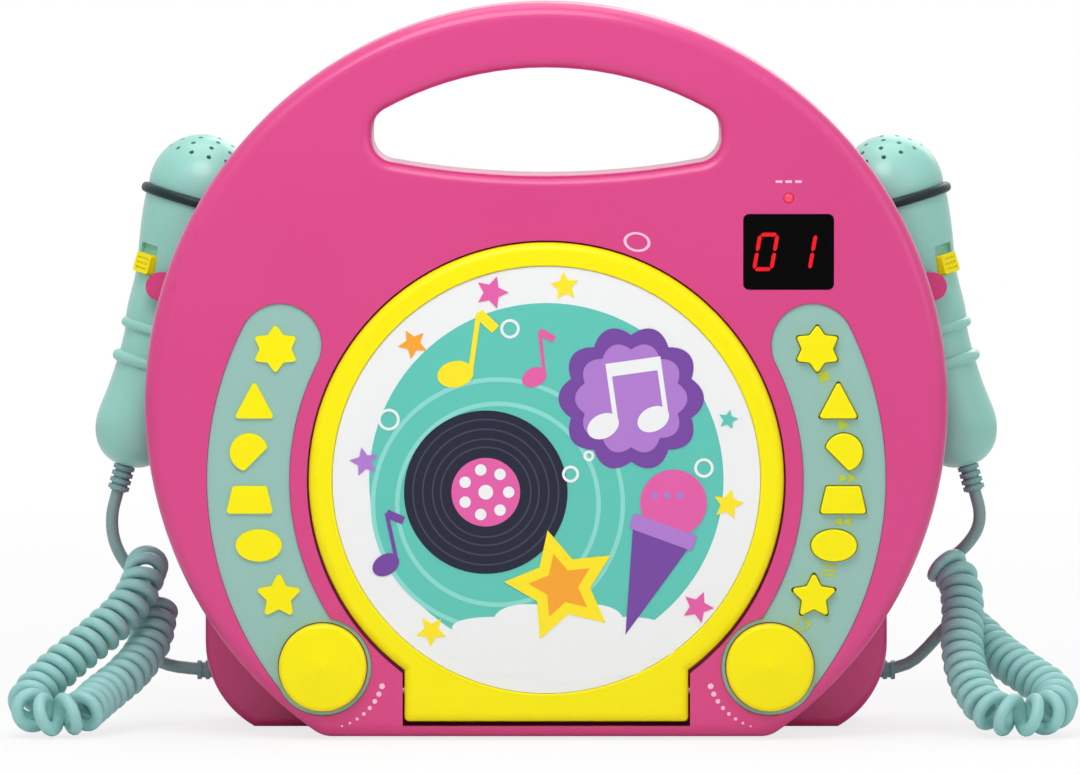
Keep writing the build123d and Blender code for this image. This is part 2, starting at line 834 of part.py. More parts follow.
well_floor_back = well_floor_y + well_wall
rim_back_y = inner_y + well_rim_thick
pocket_half = lid_base_half + lid_gap
striker_x = striker_r * cos(radians(striker_turn))
striker_z = lid_z + striker_r * sin(radians(striker_turn))

with BuildPart() as disc_well:
    with BuildSketch(upright(rim_back_y)):
        with Locations((0, lid_z)):
            Circle(well_rim_r)
        board_box(-pocket_half - pocket_side, pocket_half + pocket_side, opening_low_z - pocket_wall, lid_z)
    extrude(amount=well_rim_thick)
    with BuildSketch(upright(inner_y)):
        with Locations((0, lid_z)):
            Circle(lid_r - lid_gap / 2)
            Circle(ledge_inner_r, mode=Mode.SUBTRACT)
        board_box(-opening_half, opening_half, 0, lid_z / 2)
        with Locations((0, lid_z / 4)):
            Rectangle(2 * opening_half + wall, lid_z / 2, mode=Mode.SUBTRACT)
    extrude(amount=ledge_lift)
    with BuildSketch(upright(well_floor_back)):
        with Locations((0, lid_z)):
            Circle(well_r + well_wall)
    extrude(amount=well_floor_back - inner_y)
    with BuildSketch(upright(pocket_depth_y + pocket_wall)):
        board_box(
            -pocket_half - pocket_side, pocket_half + pocket_side,
            opening_low_z - pocket_wall, pocket_ear_z + pocket_wall,
        )
    extrude(amount=pocket_depth_y + pocket_wall - inner_y)
    with BuildSketch(upright(well_floor_y)):
        with Locations((0, lid_z)):
            Circle(well_r)
    extrude(amount=well_floor_y - inner_y, mode=Mode.SUBTRACT)
    with BuildSketch(upright(pocket_depth_y)):
        board_box(-pocket_half, pocket_half, opening_low_z, pocket_top_z)
        for hand in (1, -1):
            near, far = hand * (barrel_x - barrel_half - run_gap), hand * pocket_half
            board_box(min(near, far), max(near, far), opening_low_z, pocket_ear_z)
    extrude(amount=pocket_depth_y - inner_y, mode=Mode.SUBTRACT)
    # window over the hub and the pickup, slot for the lid's striker
    with BuildSketch(upright(well_floor_back)):
        with Locations((0, lid_z)):
            Circle(platter_r + 2)
        board_box(0, sled_x + sled_travel + lens_r + 2, lid_z - sled_half - 1, lid_z + sled_half + 1)
    extrude(amount=well_wall, mode=Mode.SUBTRACT)
    with BuildSketch(upright(rim_back_y)):
        with Locations(Location((striker_x, striker_z), striker_turn)):
            Rectangle(striker_size + 2 * run_gap, striker_size + 2 * run_gap)
    extrude(amount=well_rim_thick + ledge_lift, mode=Mode.SUBTRACT)
    with BuildSketch(Plane.YZ.offset(-pocket_half - pocket_side)):
        with Locations((hinge_y, hinge_z)):
            Circle(hinge_pin_r + shaft_gap / 2)
    extrude(amount=2 * (pocket_half + pocket_side), mode=Mode.SUBTRACT)
keep(disc_well, "disc_well")

# ---- lid: ring with its base and hinge barrels, picture disc, pins and catch

lid_front_y = face_y - lid_rise
lid_back_y = lid_front_y + lid_thick
picture_y = lid_front_y + picture_sink

with BuildPart() as lid_ring:
    with BuildSketch(upright(lid_back_y)):
        add(lid_profile.sketch)
    extrude(amount=lid_thick)
    fillet(lid_ring.faces().sort_by(Axis.Y)[0].edges(), lid_edge_r)
    with BuildSketch(upright(picture_y + picture_thick)):
        with Locations((0, lid_z)):
            Circle(picture_r + fit_gap)
    extrude(amount=picture_thick + picture_sink, mode=Mode.SUBTRACT)
    picture_rim = lid_ring.faces().sort_by(Axis.Y)[0].inner_wires()[0].edges()
    fillet(picture_rim, picture_rim_r)
    # hinge barrels on webs behind the base
    for hand in (1, -1):
        with BuildSketch(Plane.YZ.offset(hand * barrel_x - barrel_half)):
            with Locations((hinge_y, hinge_z)):
                Circle(barrel_r)
            with Locations(((hinge_y + lid_back_y) / 2, hinge_z)):
                Rectangle(hinge_y - lid_back_y, 2 * barrel_r)
        extrude(amount=2 * barrel_half)
    with BuildSketch(Plane.YZ.offset(-barrel_x - barrel_half)):
        with Locations((hinge_y, hinge_z)):
            Circle(hinge_pin_r + shaft_gap)
    extrude(amount=2 * (barrel_x + barrel_half), mode=Mode.SUBTRACT)
    with BuildSketch(upright(lid_back_y + striker_len)):
        with Locations(Location((striker_x, striker_z), striker_turn)):
            Rectangle(striker_size, striker_size)
    extrude(amount=striker_len)
keep(lid_ring, "lid_ring")

with BuildPart() as lid_picture:
    with BuildSketch(upright(picture_y + picture_thick)):
        with Locations((0, lid_z)):
            Circle(picture_r)
    extrude(amount=picture_thick)
keep(lid_picture, "lid_picture")

with BuildPart() as lid_hinge_pins:
    for hand in (1, -1):
        start = pocket_half - hinge_pin_in if hand > 0 else -pocket_half - hinge_pin_out
        with BuildSketch(Plane.YZ.offset(start)):
            with Locations((hinge_y, hinge_z)):
                Circle(hinge_pin_r)
        extrude(amount=hinge_pin_in + hinge_pin_out)
keep(lid_hinge_pins, "lid_hinge_pins")

catch_hole = striker_size + 2 * run_gap
catch_size = catch_hole + 2 * catch_wall
with BuildPart() as lid_catch:
    catch_at = Location((striker_x, striker_z), striker_turn)
    with BuildSketch(upright(rim_back_y + striker_len + catch_wall)):
        with Locations(catch_at):
            Rectangle(catch_size, catch_size)
    extrude(amount=striker_len + catch_wall)
    with BuildSketch(upright(rim_back_y + striker_len)):
        with Locations(catch_at):
            Rectangle(catch_hole, catch_hole)
    extrude(amount=striker_len, mode=Mode.SUBTRACT)
keep(lid_catch, "lid_catch")

# ---- panels, raised shapes, keys and their board

panel_front_y = face_y + panel_sink


def side_panel(hand, with_keys):
    """A mint panel in its pocket, with holes for the knob and, on the right, for the keys."""
    with BuildPart() as panel:
        with BuildSketch(upright(panel_floor_y)):
            add(panel_profile(hand, 0))
            with Locations((hand * knob_x, knob_z)):
                Circle(knob_r + knob_hole_gap, mode=Mode.SUBTRACT)
            if with_keys:
                for name, (x, z) in key_places.items():
                    with Locations((x, z)):
                        add(key_profile(name, run_gap), mode=Mode.SUBTRACT)
        extrude(amount=panel_floor_y - panel_front_y)
    return panel


left_panel = side_panel(-1, False)
keep(left_panel, "left_panel")
right_panel = side_panel(1, True)
keep(right_panel, "right_panel")

with BuildPart() as left_key_shapes:
    with BuildSketch(upright(panel_front_y)):
        for name, (x, z) in key_places.items():
            with Locations((-x, z)):
                add(key_profile(name, hand=-1))
    extrude(amount=raised_shape)
keep(left_key_shapes, "left_key_shapes")

key_front_y = panel_front_y - key_rise
for name, place in key_places.items():
    with BuildPart() as key:
        with BuildSketch(upright(inner_y + key_rest_gap)):
            with Locations(place):
                add(key_profile(name))
        extrude(amount=inner_y + key_rest_gap - key_front_y)
        fillet(key.faces().sort_by(Axis.Y)[0].edges(), key_edge_r)
        with BuildSketch(upright(key_back_y)):
            with Locations(place):
                add(key_profile(name, key_flange))
        extrude(amount=key_flange_thick)
    keep(key, name)

with BuildPart() as key_board:
    with BuildSketch(upright(key_board_y + board_thick)):
        SlotArc(key_board_arc, key_board_width)
    extrude(amount=board_thick)
    with BuildSketch(upright(key_board_y)):
        with Locations(*key_places.values()):
            Rectangle(switch_size, switch_size)
    extrude(amount=switch_body)
    with BuildSketch(upright(key_board_y - switch_body)):
        with Locations(*key_places.values()):
            Circle(plunger_r)
    extrude(amount=plunger_rise)
keep(key_board, "key_board")

# ---- volume knobs and their potentiometers

knob_back_y = panel_floor_y - run_gap
knob_front_y = -total_depth / 2
knob_side_y = knob_front_y + knob_dome
dome_r = (knob_r**2 + knob_dome**2) / (2 * knob_dome)


def volume_knob(hand):
    """A domed knob on its stem, turned about its own axis."""
    middle = Plane(origin=(hand * knob_x, 0, knob_z), x_dir=(1, 0, 0), z_dir=(0, 0, 1))
    with BuildPart() as knob:
        with BuildSketch(middle) as profile:
            with BuildLine():
                dome = RadiusArc((0, knob_front_y), (knob_r, knob_side_y), dome_r)
                Line(dome @ 1, (knob_r, knob_back_y))
                Line((knob_r, knob_back_y), (stem_r, knob_back_y))
                Line((stem_r, knob_back_y), (stem_r, inner_y + pot_depth - wall))
                Line((stem_r, inner_y + pot_depth - wall), (0, inner_y + pot_depth - wall))
                Line((0, inner_y + pot_depth - wall), (0, knob_front_y))
            make_face()
            rim = profile.vertices().filter_by(lambda v: abs(v.Y - knob_side_y) < fit_gap)
            fillet(rim, knob_edge_r)
        revolve(axis=Axis((hand * knob_x, 0, knob_z), (0, 1, 0)))
    return knob


mic_volume_knob = volume_knob(-1)
keep(mic_volume_knob, "mic_volume_knob")
volume_knob_right = volume_knob(1)
keep(volume_knob_right, "volume_knob")

with BuildPart() as potentiometers:
    with BuildSketch(upright(inner_y + pot_depth)):
        with Locations((knob_x, knob_z), (-knob_x, knob_z)):
            Circle(pot_r)
        with Locations((knob_x, knob_z + pot_r), (-knob_x, knob_z + pot_r)):
            Rectangle(pot_tag_w, pot_tag_h)
    extrude(amount=pot_depth)
    with BuildSketch(upright(inner_y + pot_depth - wall + run_gap)):
        with Locations((knob_x, knob_z), (-knob_x, knob_z)):
            Circle(stem_r + shaft_gap)
    extrude(amount=pot_depth - wall + run_gap, mode=Mode.SUBTRACT)
keep(potentiometers, "potentiometers")

# ---- display: window, lit digits, module on its board, program lamp

window_front_y = face_y + display_sink
with BuildPart() as display_window:
    with BuildSketch(upright(inner_y)):
        with Locations((display_x, display_z)):
            RectangleRounded(display_w - 2 * fit_gap, display_h - 2 * fit_gap, display_corner - fit_gap)
    extrude(amount=inner_y - window_front_y)
    with BuildSketch(upright(inner_y + window_flange_thick)):
        with Locations((display_x, display_z)):
            Rectangle(display_w + 2 * window_flange, display_h + 2 * window_flange)
    extrude(amount=window_flange_thick)
keep(display_window, "display_window")

lean = tan(radians(digit_slant))


def bar(x, z, low_a, high_a, upright_bar):
    """One lit bar of a digit, leaning with the rest; low_a and high_a run along it."""
    half = digit_stroke / 2
    if upright_bar:
        corners = [(x, low_a), (x + half, low_a + half), (x + half, high_a - half), (x, high_a)]
        corners += [(x - half, high_a - half), (x - half, low_a + half)]
    else:
        corners = [(low_a, z), (low_a + half, z - half), (high_a - half, z - half), (high_a, z)]
        corners += [(high_a - half, z + half), (low_a + half, z + half)]
    return [(cx + lean * cz, cz) for cx, cz in corners]


half_h, half_w = (digit_h - digit_stroke) / 2, (digit_w - digit_stroke) / 2
zero_bars = [
    bar(side_x, 0, low, low + half_h - 2 * join, True)
    for side_x in (-half_w, half_w)
    for low in (join - half_h, join)
] + [bar(0, z, join - half_w, half_w - join, False) for z in (-half_h, half_h)]
one_bars = [bar(half_w, 0, low, low + half_h - 2 * join, True) for low in (join - half_h, join)]
with BuildPart() as display_digits:
    with BuildSketch(upright(window_front_y)):
        for side, bars in ((-1, zero_bars), (1, one_bars)):
            for corners in bars:
                with Locations((display_x + digit_shift + side * digit_pitch / 2, display_z)):
                    Polygon(*corners, align=None)
    extrude(amount=digit_lift)
keep(display_digits, "display_digits")

module_front_y = inner_y + window_flange_thick
with BuildPart() as display_module:
    with BuildSketch(upright(display_board_y)):
        with Locations((display_x, display_z)):
            Rectangle(display_w - module_in, display_h - module_in)
    extrude(amount=display_board_y - module_front_y)
    with BuildSketch(upright(display_board_y + board_thick)):
        board_box(
            display_x - display_board_left, display_x + display_board_right,
            display_z - display_board_down, display_z + display_board_up,
        )
    extrude(amount=board_thick)
keep(display_module, "display_module")

with BuildPart() as program_led:
    with BuildSketch(upright(inner_y + led_back)):
        with Locations((display_x, led_z)):
            Circle(led_r)
    extrude(amount=face_wall + led_back + led_rise)
    fillet(program_led.faces().sort_by(Axis.Y)[0].edges(), led_round)
    with BuildSketch(upright(display_board_y)):
        with Locations((display_x - led_leg_x, led_z), (display_x + led_leg_x, led_z)):
            Rectangle(led_leg, led_leg)
    extrude(amount=display_board_y - inner_y - led_back)
keep(program_led, "program_led")

# ---- disc drive

chassis_back_y = chassis_y + chassis_thick
hub_end_y = chassis_back_y + spindle_motor_len - wall
with BuildPart() as disc_hub:
    with BuildSketch(upright(platter_y + platter_thick)):
        with Locations((0, lid_z)):
            Circle(platter_r)
    extrude(amount=platter_thick)
    with BuildSketch(upright(platter_y)):
        with Locations((0, lid_z)):
            Circle(hub_pin_r)
    extrude(amount=hub_pin_len)
    chamfer(disc_hub.faces().sort_by(Axis.Y)[0].edges(), hub_chamfer)
    with BuildSketch(upright(chassis_y)):
        with Locations((0, lid_z)):
            Circle(hub_stem_r)
    extrude(amount=chassis_y - platter_y - platter_thick)
    with BuildSketch(upright(hub_end_y)):
        with Locations((0, lid_z)):
            Circle(axle_r)
    extrude(amount=hub_end_y - chassis_y)
    for i in range(ball_count):
        turn = radians(ball_first_a + 360 * i / ball_count)
        out = (cos(turn), 0, sin(turn))
        pocket = Plane(origin=(0, platter_y - ball_ahead, lid_z), z_dir=out)
        with BuildSketch(pocket.offset(ball_at_r - ball_r - ball_spring)):
            Circle(ball_r + shaft_gap)
        extrude(amount=hub_pin_r, mode=Mode.SUBTRACT)
keep(disc_hub, "disc_hub")

with BuildPart() as hub_balls:
    for x, z in ring_places(ball_at_r, ball_count, ball_first_a):
        with Locations((x, platter_y - ball_ahead, lid_z + z)):
            Sphere(ball_r)
keep(hub_balls, "hub_balls")

chassis_posts = [(x, lid_z + z) for x in chassis_post_xs for z in (-chassis_post_z, chassis_post_z)]
sled_low, sled_high = sled_x - sled_len / 2, sled_x + sled_len / 2
rod_left = sled_low - run_gap - rod_hold
rod_right = sled_high + sled_travel + run_gap + rod_hold
rod_ends = [(rod_left, rod_left + rod_hold), (rod_right - rod_hold, rod_right)]
pinion_r = gear_module * pinion_teeth / 2
pinion_z = lid_z - rack_z - pinion_r
pinion_y = rod_y + pinion_thick / 2
motor_front_y = pinion_y + run_gap
motor_posts = [(pinion_x + hand * motor_lug, pinion_z - motor_lug_drop) for hand in (1, -1)]

with BuildPart() as drive_chassis:
    with BuildSketch(upright(chassis_back_y)):
        board_box(chassis_left, chassis_right, lid_z - chassis_half, lid_z + chassis_half)
        with Locations((0, lid_z)):
            Circle(hub_stem_r + 1, mode=Mode.SUBTRACT)
    extrude(amount=chassis_thick)
    with BuildSketch(upright(chassis_back_y)):
        board_box(sled_low - 2, sled_high + sled_travel + 2, lid_z - sled_half - 1, lid_z + sled_half + 1)
    extrude(amount=chassis_thick, mode=Mode.SUBTRACT)
    with BuildSketch(upright(chassis_y)):
        with Locations(*chassis_posts):
            Circle(post_r)
    extrude(amount=chassis_y - well_floor_back)
    with BuildSketch(upright(rod_y + rod_r + 1)):
        for low, high in rod_ends:
            for z in (lid_z - rod_z, lid_z + rod_z):
                board_box(low, high, z - rod_r - 1, z + rod_r + 1)
    extrude(amount=rod_y + rod_r + 1 - chassis_back_y)
    with BuildSketch(Plane.YZ.offset(rod_left)):
        with Locations((rod_y, lid_z - rod_z), (rod_y, lid_z + rod_z)):
            Circle(rod_r)
    extrude(amount=rod_right - rod_left, mode=Mode.SUBTRACT)
    with BuildSketch(upright(motor_front_y)):
        with Locations(*motor_posts):
            Circle(motor_lug_r)
    extrude(amount=motor_front_y - chassis_back_y)
keep(drive_chassis, "drive_chassis")

with BuildPart() as guide_rods:
    with BuildSketch(Plane.YZ.offset(rod_left)):
        with Locations((rod_y, lid_z - rod_z), (rod_y, lid_z + rod_z)):
            Circle(rod_r)
    extrude(amount=rod_right - rod_left)
keep(guide_rods, "guide_rods")

# Rack and pinion: straight-sided teeth, thinned for backlash.
pitch = gear_module * pi
flank = tan(radians(pressure_a))
rack_low, rack_high = pinion_x - sled_travel - rack_spare * pitch, pinion_x + rack_spare * pitch
wing_back_y = rod_y + rod_r + 1
with BuildPart() as pickup_sled:
    with BuildSketch(upright(wing_back_y)):
        board_box(sled_low, sled_high, lid_z - sled_half, lid_z + sled_half)
    extrude(amount=wing_back_y - sled_front_y)
    with BuildSketch(upright(wing_back_y)):
        board_box(sled_low, sled_high, lid_z - rod_z - rod_r - 1, lid_z + rod_z + rod_r + 1)
        board_box(sled_low, sled_high, lid_z - rack_z + dedendum, lid_z - rod_z)
    extrude(amount=wing_back_y - (rod_y - rod_r - 1))
    with BuildSketch(Plane.YZ.offset(sled_low)):
        with Locations((rod_y, lid_z - rod_z), (rod_y, lid_z + rod_z)):
            Circle(rod_r + shaft_gap)
    extrude(amount=sled_len, mode=Mode.SUBTRACT)
    with BuildSketch(upright(rod_y + rack_thick / 2)):
        root_z, tip_z = lid_z - rack_z + dedendum, lid_z - rack_z - addendum
        board_box(rack_low, rack_high, root_z, root_z + rack_back)
        half_tooth = pitch * tooth_share / 2
        root_half = half_tooth + dedendum * flank
        tip_half = half_tooth - addendum * flank
        for i in range(-int((pinion_x - rack_low - root_half) / pitch), 2):
            x = pinion_x + i * pitch
            rising = [(x - root_half, root_z), (x - tip_half, tip_z)]
            falling = [(x + tip_half, tip_z), (x + root_half, root_z)]
            Polygon(*rising, *falling, align=None)
    extrude(amount=rack_thick)
keep(pickup_sled, "pickup_sled")

with BuildPart() as pickup_lens:
    with BuildSketch(upright(sled_front_y)):
        with Locations((sled_x, lid_z)):
            Circle(lens_r)
    extrude(amount=sled_front_y - platter_y - lens_gap)
    fillet(pickup_lens.faces().sort_by(Axis.Y)[0].edges(), lens_edge_r)
keep(pickup_lens, "pickup_lens")


def gear_tooth_points(at):
    """One tooth about the angle at, its flanks following an involute at four radii."""
    base_r = pinion_r * cos(radians(pressure_a))
    root_r, tip_r = pinion_r - dedendum, pinion_r + addendum
    pitch_roll = tan(radians(pressure_a)) - radians(pressure_a)
    half_at_pitch = pitch * tooth_share / 2 / pinion_r
    right = []
    for r in (root_r, base_r + shaft_gap, pinion_r, (pinion_r + tip_r) / 2, tip_r):
        cos_p = min(1.0, base_r / r)
        roll = sqrt(1 / cos_p**2 - 1) - asin(sqrt(1 - cos_p**2))
        right.append((r, half_at_pitch + pitch_roll - roll))
    turned = [(r, at - a) for r, a in right] + [(r, at + a) for r, a in reversed(right)]
    return [(r * cos(a), r * sin(a)) for r, a in turned]


with BuildPart() as sled_pinion:
    with BuildSketch(upright(pinion_y)):
        with Locations((pinion_x, pinion_z)):
            Circle(pinion_r - dedendum + tooth_root)
            for i in range(pinion_teeth):
                # a tooth space faces the rack tooth straight above
                at = radians(90 + 360 * (i + 0.5) / pinion_teeth)
                Polygon(*gear_tooth_points(at), align=None)
    extrude(amount=pinion_thick)
    with BuildSketch(upright(motor_front_y + sled_motor_len - wall)):
        with Locations((pinion_x, pinion_z)):
            Circle(axle_r)
    extrude(amount=motor_front_y + sled_motor_len - wall - pinion_y)
keep(sled_pinion, "sled_pinion")

with BuildPart() as drive_motors:
    # spindle motor behind the hub
    with BuildSketch(upright(chassis_back_y + spindle_motor_len)):
        with Locations((0, lid_z)):
            Circle(spindle_motor_r)
    extrude(amount=spindle_motor_len)
    fillet(drive_motors.faces().sort_by(Axis.Y)[-1].edges(), motor_edge_r)
    with BuildSketch(upright(hub_end_y + run_gap)):
        with Locations((0, lid_z)):
            Circle(axle_r + shaft_gap)
    extrude(amount=hub_end_y + run_gap - chassis_back_y, mode=Mode.SUBTRACT)
    # sled motor on its two lugs
    with BuildSketch(upright(motor_front_y + sled_motor_len)):
        with Locations((pinion_x, pinion_z)):
            Circle(sled_motor_r)
    extrude(amount=sled_motor_len)
    with BuildSketch(upright(motor_front_y + motor_lug_thick)):
        with Locations((pinion_x, pinion_z - motor_lug_drop)):
            SlotOverall(2 * (motor_lug + motor_lug_r), 2 * motor_lug_r)
    extrude(amount=motor_lug_thick)
    with BuildSketch(upright(motor_front_y + sled_motor_len - wall + run_gap)):
        with Locations((pinion_x, pinion_z)):
            Circle(axle_r + shaft_gap)
    extrude(amount=sled_motor_len - wall + run_gap, mode=Mode.SUBTRACT)
keep(drive_motors, "drive_motors")

# ---- main board, speaker, power socket

with BuildPart() as main_board:
    with BuildSketch(upright(main_board_y + board_thick)):
        board_box(-main_board_half, main_board_half, main_board_low, main_board_high)
    extrude(amount=board_thick)
    with BuildSketch(upright(main_board_y)):
        with Locations(*chip_places):
            Rectangle(chip_size, chip_size)
        with Locations(*socket_places):
            Rectangle(socket_w, socket_h)
    extrude(amount=chip_rise)
    with BuildSketch(upright(main_board_y)):
        with Locations(*can_places):
            Circle(can_r)
    extrude(amount=can_rise)
keep(main_board, "main_board")

basket_y = rear_inner_y - speaker_thick
with BuildPart() as speaker_frame:
    with BuildSketch(upright(rear_inner_y)):
        with Locations((0, speaker_z)):
            Circle(speaker_r)
    extrude(amount=speaker_thick)
    with BuildSketch(upright(basket_y)):
        with Locations((0, speaker_z)):
            Circle(speaker_r - speaker_rim)
    extrude(amount=basket_len, taper=basket_taper)
    with BuildSketch(upright(basket_y - basket_len)):
        with Locations((0, speaker_z)):
            Circle(magnet_r)
    extrude(amount=magnet_len)
    cone_front_r, cone_back_r = speaker_r - speaker_rim - basket_wall, magnet_r - coil_gap
    cone_depth = basket_len - 2 * basket_wall
    with BuildSketch(upright(rear_inner_y)):
        with Locations((0, speaker_z)):
            Circle(cone_front_r)
    with BuildSketch(upright(basket_y - cone_depth)):
        with Locations((0, speaker_z)):
            Circle(cone_back_r)
    loft(mode=Mode.SUBTRACT)
keep(speaker_frame, "speaker_frame")

with BuildPart() as speaker_cone:
    with BuildSketch(upright(rear_inner_y - run_gap)):
        with Locations((0, speaker_z)):
            Circle(cone_front_r - cone_gap)
    with BuildSketch(upright(basket_y - cone_depth + run_gap)):
        with Locations((0, speaker_z)):
            Circle(cone_back_r - cone_gap)
    loft()
    with BuildSketch(upright(rear_inner_y - run_gap)):
        with Locations((0, speaker_z)):
            Circle(cone_front_r - cone_gap - cone_wall)
    with BuildSketch(upright(basket_y - cone_depth + run_gap + cone_wall)):
        with Locations((0, speaker_z)):
            Circle(cone_back_r - cone_gap - cone_wall)
    loft(mode=Mode.SUBTRACT)
keep(speaker_cone, "speaker_cone")

with BuildPart() as dc_jack:
    with BuildSketch(upright(back_y - jack_sink)):
        with Locations((jack_x, jack_z)):
            Circle(jack_r)
    extrude(amount=wall - jack_sink)
    with BuildSketch(upright(rear_inner_y)):
        with Locations((jack_x, jack_z)):
            Rectangle(jack_block, jack_block)
    extrude(amount=jack_len)
    with BuildSketch(upright(back_y)):
        with Locations((jack_x, jack_z)):
            Circle(jack_r - jack_wall)
            Circle(jack_pin_r, mode=Mode.SUBTRACT)
    extrude(amount=jack_len - jack_pin_r, mode=Mode.SUBTRACT)
keep(dc_jack, "dc_jack")

# ---- cord glands in the sides of the rear shell

rear_side_x = rear_half - rear_foot_r + sqrt(rear_foot_r**2 - (rear_foot_z - gland_z) ** 2)
with BuildPart() as cord_glands:
    for hand in (1, -1):
        start = hand * (rear_side_x - 3 * wall)
        neck = Plane(origin=(start, gland_y, gland_z), x_dir=(0, 1, 0), z_dir=(hand, 0, 0))
        with BuildSketch(neck):
            Circle(gland_r)
        extrude(amount=gland_out - abs(start))
        for out in (abs(start), rear_side_x + gland_step, gland_out - gland_collar):
            collar = Plane(origin=(hand * out, gland_y, gland_z), x_dir=(0, 1, 0), z_dir=(hand, 0, 0))
            with BuildSketch(collar):
                Circle(gland_collar_r)
            extrude(amount=gland_collar)
keep(cord_glands, "cord_glands")

# ---- microphones


def mic_point(hand, s, out=0.0):
    """The point s below the head's middle, out from the axis away from the housing."""
    t = radians(mic_tilt)
    x = mic_x + s * sin(t) + out * cos(t)
    return (hand * x, mic_y, mic_z - s * cos(t) + out * sin(t))


def mic_plane(hand):
    """Across the axis is x and up the axis is y, with the head's middle at the origin."""
    t = radians(mic_tilt)
    return Plane(origin=mic_point(hand, 0), x_dir=(cos(t), 0, hand * sin(t)), z_dir=(0, -1, 0))


def mic_axis(hand):
    t = radians(mic_tilt)
    return Axis(mic_point(hand, 0), (-hand * sin(t), 0, cos(t)))


def switch_plane(hand, radius):
    """Square to the side of the handle where the switch sits, radius out from the axis."""
    t, a = radians(mic_tilt), radians(switch_turn)
    up = Vector(-hand * sin(t), 0, cos(t))
    out = Vector(hand * cos(t) * sin(a), -cos(a), sin(t) * sin(a))
    return Plane(origin=Vector(*mic_point(hand, switch_s)) + out * radius, x_dir=up.cross(out), z_dir=out)


slider_rest = -(recess_len - slider_len) / 2 + run_gap
for hand, side_name in ((-1, "left"), (1, "right")):
    flat = mic_plane(hand)
    spin = mic_axis(hand)

    with BuildPart() as mic_body:
        with BuildSketch(flat):
            with BuildLine():
                upper = Spline(*[(r, -s) for s, r in mic_taper])
                lower = Spline(*[(r, -s) for s, r in mic_tail])
                Line(lower @ 1, (0, -mic_tail[-1][0]))
                Line((0, -mic_tail[-1][0]), (0, -mic_taper[0][0]))
                Line((0, -mic_taper[0][0]), upper @ 0)
            make_face()
        revolve(axis=spin)
        with BuildSketch(flat):
            for s, r, width in mic_bands:
                with Locations((r - band_deep / 2, -s)):
                    RectangleRounded(band_deep, width, width / 2 - shaft_gap)
        revolve(axis=spin)
        with BuildSketch(flat):
            with Locations((0, -mic_taper[0][0])):
                Rectangle(mic_neck_r, mic_taper[0][0] + 2, align=(Align.MIN, Align.MIN))
        revolve(axis=spin)
        with BuildSketch(flat):
            with Locations((0, -mic_bore_s)):
                Rectangle(mic_bore_r, mic_bore_s + capsule_up, align=(Align.MIN, Align.MIN))
        revolve(axis=spin, mode=Mode.SUBTRACT)
        with BuildSketch(switch_plane(hand, recess_r)):
            RectangleRounded(recess_w, recess_len, mic_corner_r)
        extrude(amount=slider_top_r - mic_bore_r, mode=Mode.SUBTRACT)
    keep(mic_body, f"{side_name}_mic_body")

    with BuildPart() as mic_head:
        with BuildSketch(flat):
            Circle(mic_head_r)
            Circle(mic_head_r - mic_head_wall, mode=Mode.SUBTRACT)
            with Locations((0, -mic_head_r)):
                Rectangle(3 * mic_head_r, mic_head_r - mic_ring_s + mic_ring_thick / 2,
                          align=(Align.CENTER, Align.MIN), mode=Mode.SUBTRACT)
            Rectangle(2 * mic_head_r, 3 * mic_head_r, align=(Align.MAX, Align.CENTER), mode=Mode.SUBTRACT)
        revolve(axis=spin)
        for up_a, count in head_hole_rings:
            for i in range(count):
                a, u = radians(360 * (i + 0.5) / count), radians(up_a)
                across, along = Vector(*flat.x_dir), Vector(*flat.y_dir)
                ray = across * (cos(u) * cos(a)) + Vector(0, -1, 0) * (cos(u) * sin(a)) + along * sin(u)
                start = Vector(*mic_point(hand, 0)) + ray * (mic_head_r - mic_head_wall - 1)
                with BuildSketch(Plane(origin=start, z_dir=ray)):
                    Circle(head_hole_r)
                extrude(amount=mic_head_wall + head_cut, mode=Mode.SUBTRACT)
    keep(mic_head, f"{side_name}_mic_head")

    with BuildPart() as mic_ring:
        with BuildSketch(flat):
            inner = mic_neck_r + fit_gap
            with Locations(((inner + mic_ring_r) / 2, -mic_ring_s)):
                RectangleRounded(mic_ring_r - inner, mic_ring_thick, mic_ring_thick / 2 - fit_gap)
        revolve(axis=spin)
    keep(mic_ring, f"{side_name}_mic_ring")

    with BuildPart() as mic_capsule:
        with BuildSketch(flat):
            with Locations((0, capsule_up)):
                Rectangle(mic_bore_r + capsule_rim, capsule_len / 3, align=(Align.MIN, Align.MIN))
                Rectangle(capsule_r, capsule_len, align=(Align.MIN, Align.MIN))
        revolve(axis=spin)
    keep(mic_capsule, f"{side_name}_mic_capsule")

    with BuildPart() as mic_switch:
        with BuildSketch(switch_plane(hand, recess_r + fit_gap)):
            with Locations((0, slider_rest)):
                RectangleRounded(slider_w, slider_len, mic_corner_r)
        extrude(amount=slider_top_r - recess_r - fit_gap)
        with BuildSketch(switch_plane(hand, slider_top_r)):
            for i in (-1, 0, 1):
                with Locations((0, slider_rest + groove_step * i)):
                    Rectangle(groove_len, groove_w)
        extrude(amount=-groove_deep, mode=Mode.SUBTRACT)
    keep(mic_switch, f"{side_name}_mic_switch")

    boot_top = mic_tail[-1][0]
    with BuildPart() as mic_boot:
        with BuildSketch(flat):
            with Locations((0, -boot_top)):
                Rectangle(boot_r - boot_groove, boot_len, align=(Align.MIN, Align.MAX))
            for i in range(boot_ribs):
                with Locations((0, -boot_top - boot_len * (i + 0.5) / boot_ribs)):
                    Rectangle(boot_r, boot_rib, align=(Align.MIN, Align.CENTER))
        revolve(axis=spin)
    keep(mic_boot, f"{side_name}_mic_boot")

# ---- microphone cords: a lead from the boot, the curl, and a lead into the gland


